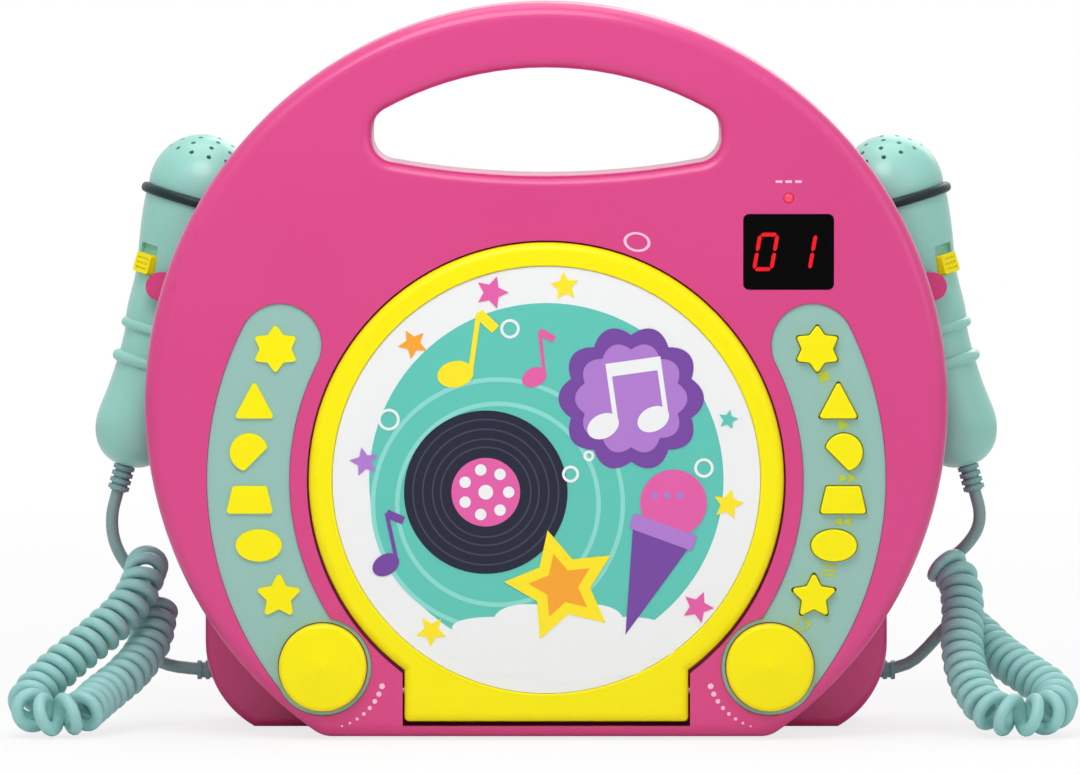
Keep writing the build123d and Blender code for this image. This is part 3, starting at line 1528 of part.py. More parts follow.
def corner_radii(points):
    """For each inner corner, a share of the shorter run over the tangent of half the turn."""
    radii = []
    for before, here, after in zip(points, points[1:], points[2:]):
        into, out = Vector(*here) - Vector(*before), Vector(*after) - Vector(*here)
        half_turn = radians(into.get_angle(out) / 2)
        radii.append(corner_share * min(into.length, out.length) / tan(half_turn))
    return radii


def cord_tube(points, radius, name):
    radii = corner_radii(points)
    with BuildPart() as tube:
        with BuildLine() as path:
            FilletPolyline(*points, radius=radii)
        with BuildSketch(Plane(origin=path.wire() @ 0, z_dir=path.wire() % 0)):
            Circle(radius)
        sweep(path=path.wire())
    expected = pi * radius**2 * path.wire().length
    print(name, "length", round(path.wire().length, 1), "smallest radius", round(min(radii), 1),
          "volume share", round(tube.part.volume / expected, 4))
    keep(tube, name)


routes = {
    "left": (left_lead_route, left_curl_route, left_foot_route),
    "right": (right_lead_route, right_curl_route, right_foot_route),
}
for hand, side_name in ((-1, "left"), (1, "right")):
    lead_route, curl_route, foot_route = routes[side_name]
    lead_s = boot_top + boot_len + cord_gap
    boot_ends = [mic_point(hand, lead_s + cord_straight), mic_point(hand, lead_s)]
    gland_end = (hand * (gland_out - cord_seat), gland_y, gland_z)
    cord_tube(lead_route + boot_ends, cord_r, f"{side_name}_mic_lead")
    cord_tube(curl_route, curl_r, f"{side_name}_mic_curl")
    cord_tube(foot_route + [gland_end], cord_r, f"{side_name}_foot_lead")
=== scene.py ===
from math import atan2, cos, pi, radians, sin

import bmesh
import bpy
from mathutils import Matrix, Vector


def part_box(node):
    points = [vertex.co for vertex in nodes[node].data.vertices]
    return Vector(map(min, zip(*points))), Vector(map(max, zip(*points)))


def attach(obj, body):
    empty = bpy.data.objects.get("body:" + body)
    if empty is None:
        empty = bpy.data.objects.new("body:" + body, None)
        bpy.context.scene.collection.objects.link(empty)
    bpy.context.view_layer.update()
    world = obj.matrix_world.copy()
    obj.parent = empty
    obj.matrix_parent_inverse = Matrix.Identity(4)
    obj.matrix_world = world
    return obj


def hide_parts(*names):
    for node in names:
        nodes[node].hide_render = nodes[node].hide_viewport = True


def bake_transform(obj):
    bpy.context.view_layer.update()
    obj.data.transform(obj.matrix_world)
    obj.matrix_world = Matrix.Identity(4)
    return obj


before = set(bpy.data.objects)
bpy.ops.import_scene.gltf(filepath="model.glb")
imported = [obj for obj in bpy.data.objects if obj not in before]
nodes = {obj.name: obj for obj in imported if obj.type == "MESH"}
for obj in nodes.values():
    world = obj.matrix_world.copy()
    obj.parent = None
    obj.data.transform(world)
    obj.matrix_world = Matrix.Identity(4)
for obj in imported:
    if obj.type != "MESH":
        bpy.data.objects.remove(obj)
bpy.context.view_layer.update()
mm = 0.001
scene = bpy.context.scene
print("frame loaded")


cameraView = {
    "target": (-2.1 * mm, -44 * mm, 116.8 * mm),
    "distance": 3.5,
    "elevation": 3.0,
    "lens": 353.5,
    "sensor": 36.0,
    "width": 1080,
    "height": 774,
    "clipEnd": 50,
}


def makeCamera(view):
    camera = bpy.data.objects.new("camera", bpy.data.cameras.new("camera"))
    scene.collection.objects.link(camera)
    rise = radians(view["elevation"])
    away = Vector((0, -cos(rise), sin(rise)))
    camera.location = Vector(view["target"]) + away * view["distance"]
    camera.rotation_euler = (pi / 2 - rise, 0, 0)
    camera.data.lens = view["lens"]
    camera.data.sensor_width = view["sensor"]
    camera.data.clip_end = view["clipEnd"]
    scene.camera = camera
    scene.render.resolution_x = view["width"]
    scene.render.resolution_y = view["height"]


makeCamera(cameraView)
print("camera placed")


def inMetres(points):
    return [Vector(point) * mm for point in points]


def middleOf(name):
    # a node's middle in millimetres
    low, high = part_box(name)
    return (low + high) / 2 / mm


def nurbsCurve(name, points, thickness, resolution):
    data = bpy.data.curves.new(name, "CURVE")
    data.dimensions = "3D"
    spline = data.splines.new("NURBS")
    spline.points.add(len(points) - 1)
    for point, place in zip(spline.points, points):
        point.co = (*place, 1)
    spline.order_u = 3
    spline.use_endpoint_u = True
    data.resolution_u = resolution
    data.bevel_depth = thickness / 2
    data.bevel_resolution = cordShape["bevelSteps"]
    data.use_fill_caps = True
    curve = bpy.data.objects.new(name, data)
    scene.collection.objects.link(curve)
    return curve


def meshOf(curve):
    bpy.context.view_layer.update()
    current = bpy.context.evaluated_depsgraph_get()
    return bpy.data.meshes.new_from_object(curve.evaluated_get(current))


def linePoints(name, points, resolution):
    curve = nurbsCurve(name, points, 0.0, resolution)
    line = meshOf(curve)
    places = [vertex.co.copy() for vertex in line.vertices]
    bpy.data.meshes.remove(line)
    bpy.data.objects.remove(curve)
    return places


def lengthOf(places):
    return sum((b - a).length for a, b in zip(places, places[1:]))


def carriedFrames(places):
    # each place gets its own forward, side and upward direction, carried along without twist
    forward = (places[1] - places[0]).normalized()
    side = forward.orthogonal().normalized()
    frames = []
    for index, place in enumerate(places):
        ahead = places[min(index + 1, len(places) - 1)]
        behind = places[max(index - 1, 0)]
        turned = (ahead - behind).normalized()
        side = forward.rotation_difference(turned) @ side
        forward = turned
        side = (side - forward * side.dot(forward)).normalized()
        frames.append((place, forward, side, forward.cross(side)))
    return frames


def angleIn(carried, place):
    centre, forward, side, up = carried
    return atan2((place - centre).dot(up), (place - centre).dot(side))


def helixPoints(route, firstPlace, lastPlace, leadDirection, looseAt, turnShape):
    # turns wound about the route, meeting the leads at the first and last place
    line = linePoints("curlLine", route, cordShape["routeSteps"])
    frames = carriedFrames(line)
    starts = angleIn(frames[0], firstPlace)
    ends = angleIn(frames[-1], lastPlace)
    centre, forward, side, up = frames[0]
    heading = side * -sin(starts) + up * cos(starts)
    sense = 1 if heading.dot(leadDirection) > 0 else -1
    fraction = ((ends - starts) * sense / (2 * pi)) % 1
    # a loose spot spreads the turns where the cord bends round
    whole = lengthOf(line)
    run = 0.0
    turnsSoFar = [0.0]
    for index in range(1, len(line)):
        step = (line[index] - line[index - 1]).length
        run += step
        nearness = max(0, 1 - abs(run / whole - looseAt) / turnShape["looseReach"])
        turnsSoFar.append(turnsSoFar[-1] + step / (1 + turnShape["looseness"] * nearness))
    turns = round(turnsSoFar[-1] / turnShape["pitch"] - fraction) + fraction
    scale = turns / turnsSoFar[-1]
    total = int(turns * turnShape["perTurn"])
    points = []
    index = 0
    for step in range(total + 1):
        wanted = step / total * turnsSoFar[-1]
        while index < len(line) - 2 and turnsSoFar[index + 1] < wanted:
            index += 1
        room = turnsSoFar[index + 1] - turnsSoFar[index]
        part = min(1.0, max(0.0, (wanted - turnsSoFar[index]) / room))
        place = line[index].lerp(line[index + 1], part)
        centre, forward, side, up = frames[index]
        angle = starts + sense * 2 * pi * wanted * scale
        sway = wanted * scale
        uneven = sin(sway * turnShape["fastSway"]) * sin(sway * turnShape["slowSway"])
        radius = turnShape["radius"] * (1 + turnShape["wander"] * uneven)
        points.append(place + (side * cos(angle) + up * sin(angle)) * radius)
    print("turns", round(turns, 2))
    return points


cordShape = {
    "diameter": 4.2 * mm,
    "routeSteps": 12,
    "cordSteps": 3,
    "bevelSteps": 4,
    # how far the painted shade on the leads fades into the turns
    "leadShadeFade": 0.004,  # a share of the cord's length
    # the cord's last points, square into each boot
    "boot": {"left": [(-146.0, 22.3, 71.6), (-144.55, 22.3, 76.9), (-143.3, 22.3, 81.4)],
             "right": [(146.0, 22.3, 71.6), (144.55, 22.3, 76.9), (143.3, 22.3, 81.4)]},
    "gland": {"left": (-112.9, 22, 18), "right": (112.9, 22, 18)},
    "blendStart": {"left": (-140, 22, 36), "right": (140, 22, 36)},
    "turns": {
        "pitch": 5.3 * mm, "radius": 5.3 * mm, "perTurn": 14, "looseness": 0.5, "looseReach": 0.12,
        "wander": 0.02, "fastSway": 2.4, "slowSway": 0.7,
    },
}
curls = {
    "left": {
        "lead": [
            (-138.3, 22.8, 49.6), (-142.0, 22.6, 54.4), (-144.9, 22.4, 59.8), (-146.2, 22.3, 65.6),
        ],
        "curl": [
            (-134.3, 23, 53.5), (-134.5, 14, 52.5), (-136.5, 8, 45.5), (-141.5, 3, 38.8),
            (-149.0, -3.5, 32.2), (-157.0, -10, 25.8), (-164.5, -16.5, 19.8), (-170.2, -23.5, 14.2),
            (-172.6, -31.5, 9.8), (-168.0, -38.5, 8.0), (-160.3, -40.3, 8.0), (-153.6, -36, 8.4),
            (-151.4, -26.8, 10.2), (-147.5, -16, 13.2), (-140.5, -6, 18.0), (-135.0, 6, 23.8),
            (-131.6, 16, 31.6), (-131.0, 25.5, 39.6),
        ],
        "foot": [
            (-136.3, 25, 41.2), (-138.7, 29.2, 35.6), (-139.0, 31, 29.0), (-136.4, 29, 23.6),
            (-130.5, 26, 20.4), (-124.0, 23, 18.6),
        ],
        "looseAt": 0.52,
        "length": 1.15,
    },
    "right": {
        "lead": [
            (135.4, 24.8, 53.8), (139.0, 24.2, 57.4), (142.8, 23.4, 61.4), (145.6, 22.7, 66.2),
        ],
        "curl": [
            (132.2, 20, 54.8), (138.2, 17, 50.8), (139.6, 11, 43.8), (139.6, 4, 36.6),
            (139.0, -4, 29.8), (139.2, -12, 23.0), (141.2, -20.5, 16.8), (144.2, -29, 11.6),
            (147.8, -36.5, 8.4), (153.4, -41.6, 8.0), (160.2, -41.6, 8.0), (166.0, -37.4, 8.2),
            (169.4, -31, 10.2), (169.4, -22, 13.6), (164.0, -13, 17.0), (157.5, -3, 20.8),
            (151.5, 7.5, 24.8), (146.4, 17.5, 29.4), (141.5, 26.5, 33.4),
        ],
        "foot": [(139.3, 23.8, 37.6), (133.5, 22.2, 31.5), (127.6, 21.9, 24.6), (121.0, 22, 18.9)],
        "looseAt": 0.5,
        "length": 1.11,
    },
}


def markLeadShade(mesh, rings, leadShare, footShare):
    # marks how much each ring of the cord belongs to a straight lead and not to the turns; this
    # mark paints the leads darker than the turns, a painted shade
    perRing = len(mesh.vertices) // rings
    fade = cordShape["leadShadeFade"]
    marks = mesh.attributes.new("leadShadePart", "FLOAT", "POINT")
    for index, mark in enumerate(marks.data):
        share = index // perRing / rings
        inside = min(share - leadShare, footShare - share)
        mark.value = min(1.0, max(0.0, -inside / fade))


def makeMicCord(hand, curl, shape):
    lead = inMetres(curl["lead"] + shape["boot"][hand])
    lead.reverse()
    foot = inMetres(curl["foot"] + [shape["gland"][hand]])
    route = inMetres(curl["curl"])
    direction = lead[-1] - lead[-2]
    turns = helixPoints(route, lead[-1], foot[0], direction, curl["looseAt"], shape["turns"])
    points = lead[:-1] + turns + foot[1:]
    path = linePoints(f"{hand}CordLine", points, shape["cordSteps"])
    curve = nurbsCurve(f"{hand}CordCurve", points, shape["diameter"], shape["cordSteps"])
    cord = bpy.data.objects.new(f"{hand}MicCord", meshOf(curve))
    bpy.data.objects.remove(curve)
    scene.collection.objects.link(cord)
    for face in cord.data.polygons:
        face.use_smooth = True
    # marks the leads, which get a painted shade
    markLeadShade(cord.data, len(path), len(lead) / len(points), 1 - len(foot) / len(points))
    print(hand, "cord length", round(lengthOf(path), 3), "triangles", len(cord.data.polygons) * 2)
    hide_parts(f"{hand}_mic_lead", f"{hand}_mic_curl", f"{hand}_foot_lead")
    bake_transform(cord)
    return cord


micCords = {hand: makeMicCord(hand, curl, cordShape) for hand, curl in curls.items()}
print("cords made")


def newGroup(name, inputs, outputs):
    group = bpy.data.node_groups.new(name, "ShaderNodeTree")
    for way, sockets in (("INPUT", inputs), ("OUTPUT", outputs)):
        for label, kind in sockets.items():
            group.interface.new_socket(label, in_out=way, socket_type=kind)
    return group, group.nodes.new("NodeGroupInput"), group.nodes.new("NodeGroupOutput")


def makeGrain(driftDetail):
    # fine moulded grain as a height, and a slow drift of tone
    group, start, end = newGroup(
        "mouldedGrain",
        {
            "Vector": "NodeSocketVector", "Grain scale": "NodeSocketFloat",
            "Drift scale": "NodeSocketFloat",
        },
        {"Height": "NodeSocketFloat", "Drift": "NodeSocketFloat"},
    )
    grain = group.nodes.new("ShaderNodeTexNoise")
    drift = group.nodes.new("ShaderNodeTexNoise")
    drift.inputs["Detail"].default_value = driftDetail
    links = group.links
    for noise, label in ((grain, "Grain scale"), (drift, "Drift scale")):
        links.new(start.outputs["Vector"], noise.inputs["Vector"])
        links.new(start.outputs[label], noise.inputs["Scale"])
    links.new(grain.outputs["Fac"], end.inputs["Height"])
    links.new(drift.outputs["Fac"], end.inputs["Drift"])
    return group


# what every plastic has unless its own look says otherwise
plainLook = {
    "grain": 0.03, "grainDepth": 0.1 * mm, "grainScale": 1500.0, "driftScale": 14.0,
    "roughness": 0.35, "specular": 0.5, "coat": 0.0, "coatRoughness": 0.15,
    "soft": 0.0, "softReach": (0.004, 0.002, 0.002), "metal": 0.0,
}
grainGroup = makeGrain(driftDetail=3.0)


def tone(red, green, blue):
    # screen values 0 to 255 as linear light
    def linear(value):
        value /= 255
        return value / 12.92 if value <= 0.04045 else ((value + 0.055) / 1.055) ** 2.4
    return (linear(red), linear(green), linear(blue), 1)


def principled(name):
    material = bpy.data.materials.new(name)
    material.use_nodes = True
    return material, material.node_tree, material.node_tree.nodes["Principled BSDF"]


def plastic(name, ownLook):
    look = {**plainLook, **ownLook}
    material, tree, shader = principled(name)
    coords = tree.nodes.new("ShaderNodeTexCoord")
    grain = tree.nodes.new("ShaderNodeGroup")
    grain.node_tree = grainGroup
    grain.inputs["Grain scale"].default_value = look["grainScale"]
    grain.inputs["Drift scale"].default_value = look["driftScale"]
    mix = tree.nodes.new("ShaderNodeMix")
    mix.data_type = "RGBA"
    mix.inputs["A"].default_value = tone(*look["colour"])
    mix.inputs["B"].default_value = tone(*look.get("drift", look["colour"]))
    bump = tree.nodes.new("ShaderNodeBump")
    bump.inputs["Strength"].default_value = look["grain"]
    bump.inputs["Distance"].default_value = look["grainDepth"]
    tree.links.new(coords.outputs["Object"], grain.inputs["Vector"])
    tree.links.new(grain.outputs["Drift"], mix.inputs["Factor"])
    colour = mix.outputs["Result"]
    # a darker colour painted on the cord's leads, a painted shade, blended in by the lead mark
    if "leadShadeColour" in look:
        part = tree.nodes.new("ShaderNodeAttribute")
        part.attribute_name = "leadShadePart"
        along = tree.nodes.new("ShaderNodeMix")
        along.data_type = "RGBA"
        along.inputs["B"].default_value = tone(*look["leadShadeColour"])
        tree.links.new(part.outputs["Fac"], along.inputs["Factor"])
        tree.links.new(colour, along.inputs["A"])
        colour = along.outputs["Result"]
    tree.links.new(colour, shader.inputs["Base Color"])
    tree.links.new(grain.outputs["Height"], bump.inputs["Height"])
    tree.links.new(bump.outputs["Normal"], shader.inputs["Normal"])
    shader.inputs["Roughness"].default_value = look["roughness"]
    shader.inputs["Specular IOR Level"].default_value = look["specular"]
    shader.inputs["Coat Weight"].default_value = look["coat"]
    shader.inputs["Coat Roughness"].default_value = look["coatRoughness"]
    shader.inputs["Subsurface Weight"].default_value = look["soft"]
    shader.inputs["Subsurface Radius"].default_value = look["softReach"]
    shader.inputs["Metallic"].default_value = look["metal"]
    if "glow" in look:
        shader.inputs["Emission Color"].default_value = tone(*look["colour"])
        shader.inputs["Emission Strength"].default_value = look["glow"]
    return material


plasticLooks = {
    "pink_shell": {
        "colour": (210, 58, 126), "drift": (216, 66, 134),
        "roughness": 0.34, "coat": 0.3, "specular": 0.35,
    },
    "pink_inner": {"colour": (178, 46, 104), "roughness": 0.45},
    "mint_panel": {
        "colour": (142, 186, 176), "drift": (148, 192, 182), "roughness": 0.38, "coat": 0.2,
    },
    "yellow_key": {
        "colour": (252, 238, 4), "drift": (248, 232, 2),
        "roughness": 0.36, "coat": 0.08, "specular": 0.18,
    },
    "lid_picture": {"colour": (238, 239, 238), "roughness": 0.3, "coat": 0.2},
    "mint_handle": {
        "colour": (142, 206, 190), "drift": (150, 212, 198), "roughness": 0.36, "coat": 0.2,
    },
    "mint_cord": {
        # the cord's leads carry a darker colour, a painted shade
        "colour": (156, 211, 205), "drift": (146, 202, 197), "leadShadeColour": (132, 164, 161),
        "roughness": 0.42, "soft": 0.05,
    },
    "cord_end": {"colour": (126, 172, 168), "roughness": 0.45},
    "dark_ring": {"colour": (20, 42, 48), "roughness": 0.4, "specular": 0.25},
    "black_rubber": {"colour": (22, 22, 22), "roughness": 0.7},
    "black_plastic": {"colour": (18, 18, 20), "roughness": 0.4},
    "white_plastic": {"colour": (222, 222, 216), "roughness": 0.45},
    "steel": {"colour": (190, 190, 188), "roughness": 0.28, "metal": 1.0},
    "dark_window": {"colour": (4, 3, 4), "roughness": 0.3, "specular": 0.04, "grain": 0.0},
    "red_digits": {"colour": (205, 22, 32), "roughness": 0.4, "glow": 0.45, "specular": 0.1},
    "red_lamp": {"colour": (240, 60, 90), "roughness": 0.2, "glow": 0.35},
    "circuit_board": {"colour": (30, 88, 50), "roughness": 0.5},
    "lens_glass": {"colour": (40, 44, 80), "roughness": 0.05, "coat": 0.8},
    "black_cone": {"colour": (28, 26, 26), "roughness": 0.85},
}
materials = {name: plastic(name + "Look", look) for name, look in plasticLooks.items()}


cordEnds = ("left_mic_boot", "right_mic_boot", "cord_glands")


def dressNodes():
    for name, node in nodes.items():
        for slot in node.material_slots:
            look = "cord_end" if name in cordEnds else slot.material.name.split(".")[0]
            slot.material = materials[look]


dressNodes()
for cord in micCords.values():
    cord.data.materials.append(materials["mint_cord"])
print("materials set")


def newPiece(name, bm, material):
    mesh = bpy.data.meshes.new(name)
    bm.to_mesh(mesh)
    bm.free()
    mesh.materials.append(material)
    piece = bpy.data.objects.new(name, mesh)
    scene.collection.objects.link(piece)
    return piece


# flat printed shapes, all on upright faces looking to the front and rooted in them
flatShape = {
    "root": 0.1 * mm, "hairStep": 0.008 * mm, "hairSteps": 5, "bumpSteps": 16, "starTips": 5,
}


class FlatShapes:
    def __init__(self, name, faceY, thickness):
        self.name = name
        self.faceY = faceY
        self.thickness = thickness
        self.back = faceY + flatShape["root"]
        self.made = 0
        self.bm = bmesh.new()

    def place(self, made, x, z, turn=0.0, stretch=(1, 1)):
        # made in its own flat plane, then stood upright at its place and given its thickness
        turned = Matrix.Rotation(radians(turn), 4, "Z") @ Matrix.Diagonal((*stretch, 1, 1))
        upright = Matrix.Rotation(pi / 2, 4, "X")
        # each shape stands a hair prouder than the last, so crossing shapes never share a face
        hair = self.made % flatShape["hairSteps"] * flatShape["hairStep"]
        front = self.faceY - self.thickness - hair
        self.made += 1
        at = Matrix.Translation((x * mm, front, z * mm))
        bmesh.ops.transform(self.bm, matrix=at @ upright @ turned, verts=made)
        faces = list(dict.fromkeys(face for vert in made for face in vert.link_faces))
        grown = bmesh.ops.extrude_face_region(self.bm, geom=faces, use_keep_orig=True)
        verts = [item for item in grown["geom"] if isinstance(item, bmesh.types.BMVert)]
        bmesh.ops.translate(self.bm, verts=verts, vec=(0, self.back - front, 0))

    def circle(self, radius, segments, filled=True):
        return bmesh.ops.create_circle(
            self.bm, cap_ends=filled, segments=segments, radius=radius * mm)["verts"]

    def disc(self, x, z, radius, stretch=(1, 1), turn=0.0, segments=48):
        self.place(self.circle(radius, segments), x, z, turn, stretch)

    def cloud(self, x, z, radius, bumps, deep, stretch=(1, 1), turn=0.0):
        # a disc whose edge runs in scallops
        steps = flatShape["bumpSteps"]
        made = self.circle(radius, steps * bumps)
        for index, vert in enumerate(made):
            vert.co *= 1 - deep * (1 - abs(sin(pi * index / steps)))
        self.place(made, x, z, turn, stretch)

    def bar(self, x, z, width, height, turn=0.0):
        made = bmesh.ops.create_grid(self.bm, x_segments=1, y_segments=1, size=0.5 * mm)
        self.place(made["verts"], x, z, turn, (width, height))

    def triangle(self, x, z, radius, turn=0.0, stretch=(1, 1)):
        self.place(self.circle(radius, 3), x, z, turn - 90, stretch)

    def star(self, x, z, radius, inner, turn):
        made = self.circle(radius, 2 * flatShape["starTips"])
        for vert in made[1::2]:
            vert.co *= inner / radius
        self.place(made, x, z, turn)

    def ring(self, x, z, radius, width, stretch=(1, 1), turn=0.0, segments=48):
        made = self.circle(radius, segments, False) + self.circle(radius - width, segments, False)
        edges = list(dict.fromkeys(edge for vert in made for edge in vert.link_edges))
        bmesh.ops.bridge_loops(self.bm, edges=edges)
        self.place(made, x, z, turn, stretch)

    def finish(self, body, slot, material):
        bmesh.ops.recalc_face_normals(self.bm, faces=self.bm.faces)
        shapes = newPiece(self.name, self.bm, material)
        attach(shapes, body)
        return shapes


paintLook = {"coat": 0.06, "specular": 0.2, "grain": 0.0}


def paint(name, colour):
    return plastic(name, {"colour": colour, **paintLook})


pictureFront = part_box("lid_picture")[0].y
printColours = {
    "teal": (96, 196, 180), "paleTeal": (140, 216, 204), "white": (238, 239, 238),
    "purple": (118, 72, 158), "pink": (226, 96, 166), "yellow": (252, 228, 40),
    "dark": (34, 36, 54), "orange": (246, 164, 50), "groove": (66, 68, 88),
    "lilac": (176, 124, 204),
}
prints = {name: paint(name + "Print", colour) for name, colour in printColours.items()}

# the lid's picture in millimetres from its middle; a higher level lies on a lower one
picture = {
    "centre": (0.0, 86.1),
    "levelStep": 0.05 * mm,
    "ground": 58.5,
    "soundRings": {"x": -16, "z": -8, "radii": (34, 42), "width": 1.5},
    "cloud": {"x": 4, "z": -54, "radius": 17, "bumps": 9, "deep": 0.16, "stretch": (2.3, 0.8)},
    "record": {
        "x": -20, "z": -4, "radius": 27, "grooves": (0.9, 0.78, 0.66, 0.56), "grooveWidth": 0.5,
        "label": 0.42, "dots": 7, "dotReach": 0.28, "dotSize": 0.07, "hole": 0.09,
    },
    "badge": {"x": 28, "z": 27, "radii": (24, 18.5), "bumps": 10, "deep": 0.13},
    "badgeNote": {"x": 27, "z": 19, "size": 4.4, "turn": 8},
    "bigStar": {"x": 5, "z": -35, "radii": (19, 11), "waist": 0.5, "turn": 14},
    "microphone": {"x": 40, "z": -13, "size": 10.5, "turn": -20},
    "notes": (
        ("yellow", -30, 35, 4.8, -8), ("purple", -53, -28, 3.8, 12), ("pink", -4, 34, 3.4, 6),
    ),
    "bubbles": ((-12, 50, 3.2), (8, 2, 2.8), (52, 4, 3.2), (-52, 20, 3.6), (14, 8, 1.8)),
    "bubbleWidth": 0.9,
    "stars": (
        ("pink", -18, 62, 5.6), ("yellow", 6, 64, 4.8), ("orange", -44, 45, 5.0),
        ("yellow", 60, -8, 5.2), ("lilac", -60, 6, 5.0), ("pink", 50, -42, 5.4),
        ("yellow", -38, -50, 5.2), ("teal", 60, 20, 3.4),
    ),
    "starWaist": 0.48,
}


# shares of a note's size
noteShape = {
    "headStretch": (1.25, 0.9), "headTurn": 20, "stemRise": 2.2, "stemLong": 4.4, "stemWide": 0.34,
    "flagAt": (1.65, 3.9), "flagSize": (1.6, 0.7), "flagTurn": -35,
    "apart": 1.9, "pairStemWide": 0.36, "beamAt": (1.0, 4.1), "beamSize": (4.16, 1.0),
}
# shares of the printed microphone's size
voiceShape = {
    "handleAt": (0, -1.5), "handle": 1.9, "handleStretch": (0.62, 1.25),
    "headAt": (0, 0.55), "head": 1.05, "bandAt": (0, -0.42), "band": (2.1, 0.5),
    "dotsAcross": (-0.4, 0, 0.4), "dotsUp": 0.75, "dot": 0.12,
}


def leaning(x, z, turn):
    # turns steps along and across a leaning shape into places on the face
    lean = radians(turn)

    def at(dx, dz):
        return x + dx * cos(lean) - dz * sin(lean), z + dx * sin(lean) + dz * cos(lean)
    return at


def times(size, shares):
    return [size * share for share in shares]


def headAndStem(shapes, at, dx, size, turn, stemWide):
    shape = noteShape
    shapes.disc(*at(dx, 0), size, shape["headStretch"], turn + shape["headTurn"])
    stemAt = at(dx + size, size * shape["stemRise"])
    shapes.bar(*stemAt, size * stemWide, size * shape["stemLong"], turn)


def singleNote(shapes, x, z, size, turn):
    at, shape = leaning(x, z, turn), noteShape
    headAndStem(shapes, at, 0, size, turn, shape["stemWide"])
    flagTurn = turn + shape["flagTurn"]
    shapes.bar(*at(*times(size, shape["flagAt"])), *times(size, shape["flagSize"]), flagTurn)


def doubleNote(shapes, x, z, size, turn):
    at, shape = leaning(x, z, turn), noteShape
    for dx in (-shape["apart"] * size, shape["apart"] * size):
        headAndStem(shapes, at, dx, size, turn, shape["pairStemWide"])
    shapes.bar(*at(*times(size, shape["beamAt"])), *times(size, shape["beamSize"]), turn)


def printedRecord(layer, x, z, record):
    radius = record["radius"]
    layer("dark", 4).disc(x, z, radius, segments=96)
    for share in record["grooves"]:
        layer("groove", 5).ring(x, z, radius * share, record["grooveWidth"], segments=96)
    layer("pink", 5).disc(x, z, radius * record["label"], segments=64)
    for step in range(record["dots"]):
        angle = 2 * pi * step / record["dots"]
        reach = radius * record["dotReach"]
        dotX, dotZ = x + reach * cos(angle), z + reach * sin(angle)
        layer("white", 6).disc(dotX, dotZ, radius * record["dotSize"], segments=24)
    layer("white", 6).disc(x, z, radius * record["hole"], segments=24)


def printedMicrophone(layer, x, z, size, turn):
    # tapering handle, round head and band
    at, shape = leaning(x, z, turn), voiceShape
    handleAt, handle = at(*times(size, shape["handleAt"])), size * shape["handle"]
    layer("purple", 6).triangle(*handleAt, handle, turn - 90, shape["handleStretch"])
    layer("pink", 7).disc(*at(*times(size, shape["headAt"])), size * shape["head"])
    layer("lilac", 8).bar(*at(*times(size, shape["bandAt"])), *times(size, shape["band"]), turn)
    for dx in shape["dotsAcross"]:
        dotX, dotZ = x + size * dx, z + size * shape["dotsUp"]
        layer("lilac", 8).disc(dotX, dotZ, size * shape["dot"], segments=16)


def makePicture():
    cx, cz = picture["centre"]
    layers = {}

    def layer(name, level):
        key = (name, level)
        if key not in layers:
            rise = level * picture["levelStep"]
            layers[key] = FlatShapes(f"{name}Print{level}", pictureFront, rise)
        return layers[key]

    layer("teal", 1).disc(cx, cz, picture["ground"], segments=96)
    rings = picture["soundRings"]
    for radius in rings["radii"]:
        at = cx + rings["x"], cz + rings["z"]
        layer("paleTeal", 2).ring(*at, radius, rings["width"], segments=96)
    cloud = picture["cloud"]
    cloudShape = cloud["radius"], cloud["bumps"], cloud["deep"], cloud["stretch"]
    layer("white", 3).cloud(cx + cloud["x"], cz + cloud["z"], *cloudShape)
    record = picture["record"]
    printedRecord(layer, cx + record["x"], cz + record["z"], record)
    badge = picture["badge"]
    for name, level, radius in (("purple", 5, badge["radii"][0]), ("lilac", 6, badge["radii"][1])):
        at = cx + badge["x"], cz + badge["z"]
        layer(name, level).cloud(*at, radius, badge["bumps"], badge["deep"])
    mark = picture["badgeNote"]
    doubleNote(layer("white", 7), cx + mark["x"], cz + mark["z"], mark["size"], mark["turn"])
    star = picture["bigStar"]
    for name, level, radius in (("yellow", 9, star["radii"][0]), ("orange", 10, star["radii"][1])):
        waist = radius * star["waist"]
        layer(name, level).star(cx + star["x"], cz + star["z"], radius, waist, star["turn"])
    voice = picture["microphone"]
    printedMicrophone(layer, cx + voice["x"], cz + voice["z"], voice["size"], voice["turn"])
    for name, dx, dz, size, turn in picture["notes"]:
        singleNote(layer(name, 5), cx + dx, cz + dz, size, turn)
    for dx, dz, radius in picture["bubbles"]:
        layer("white", 5).ring(cx + dx, cz + dz, radius, picture["bubbleWidth"])
    for name, dx, dz, radius in picture["stars"]:
        layer(name, 5).star(cx + dx, cz + dz, radius, radius * picture["starWaist"], dx)
    for (name, level), shapes in layers.items():
        shapes.finish("lid", "lid_picture", prints[name])


makePicture()
print("picture made")


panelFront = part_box("right_panel")[0].y
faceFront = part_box("front_shell")[0].y
markColours = {"keySign": (190, 202, 66), "palePink": (244, 196, 218)}
marks = {name: paint(name + "Mark", colour) for name, colour in markColours.items()}

# small signs printed under the keys, in millimetres on the face
keySigns = {
    "thickness": 0.12,
    "stop": {"x": 91.6, "z": 120.2, "size": 3.4, "turn": 20},
    "play": {"x": 97.8, "z": 104.2, "size": 2.4},
    "forward": {"x": 99.2, "z": 86.6, "size": 1.9, "apart": 1.5},
    "back": {"x": 98.2, "z": 72.2, "size": 1.9, "apart": 1.5},
    "program": {"x": 93.4, "z": 56.0, "long": 5.0, "high": 0.7, "apart": 1.6, "turn": -6},
    "repeat": {"x": 84.3, "z": 38.3, "radius": 2.4, "width": 0.6, "arrow": 1.3},
}


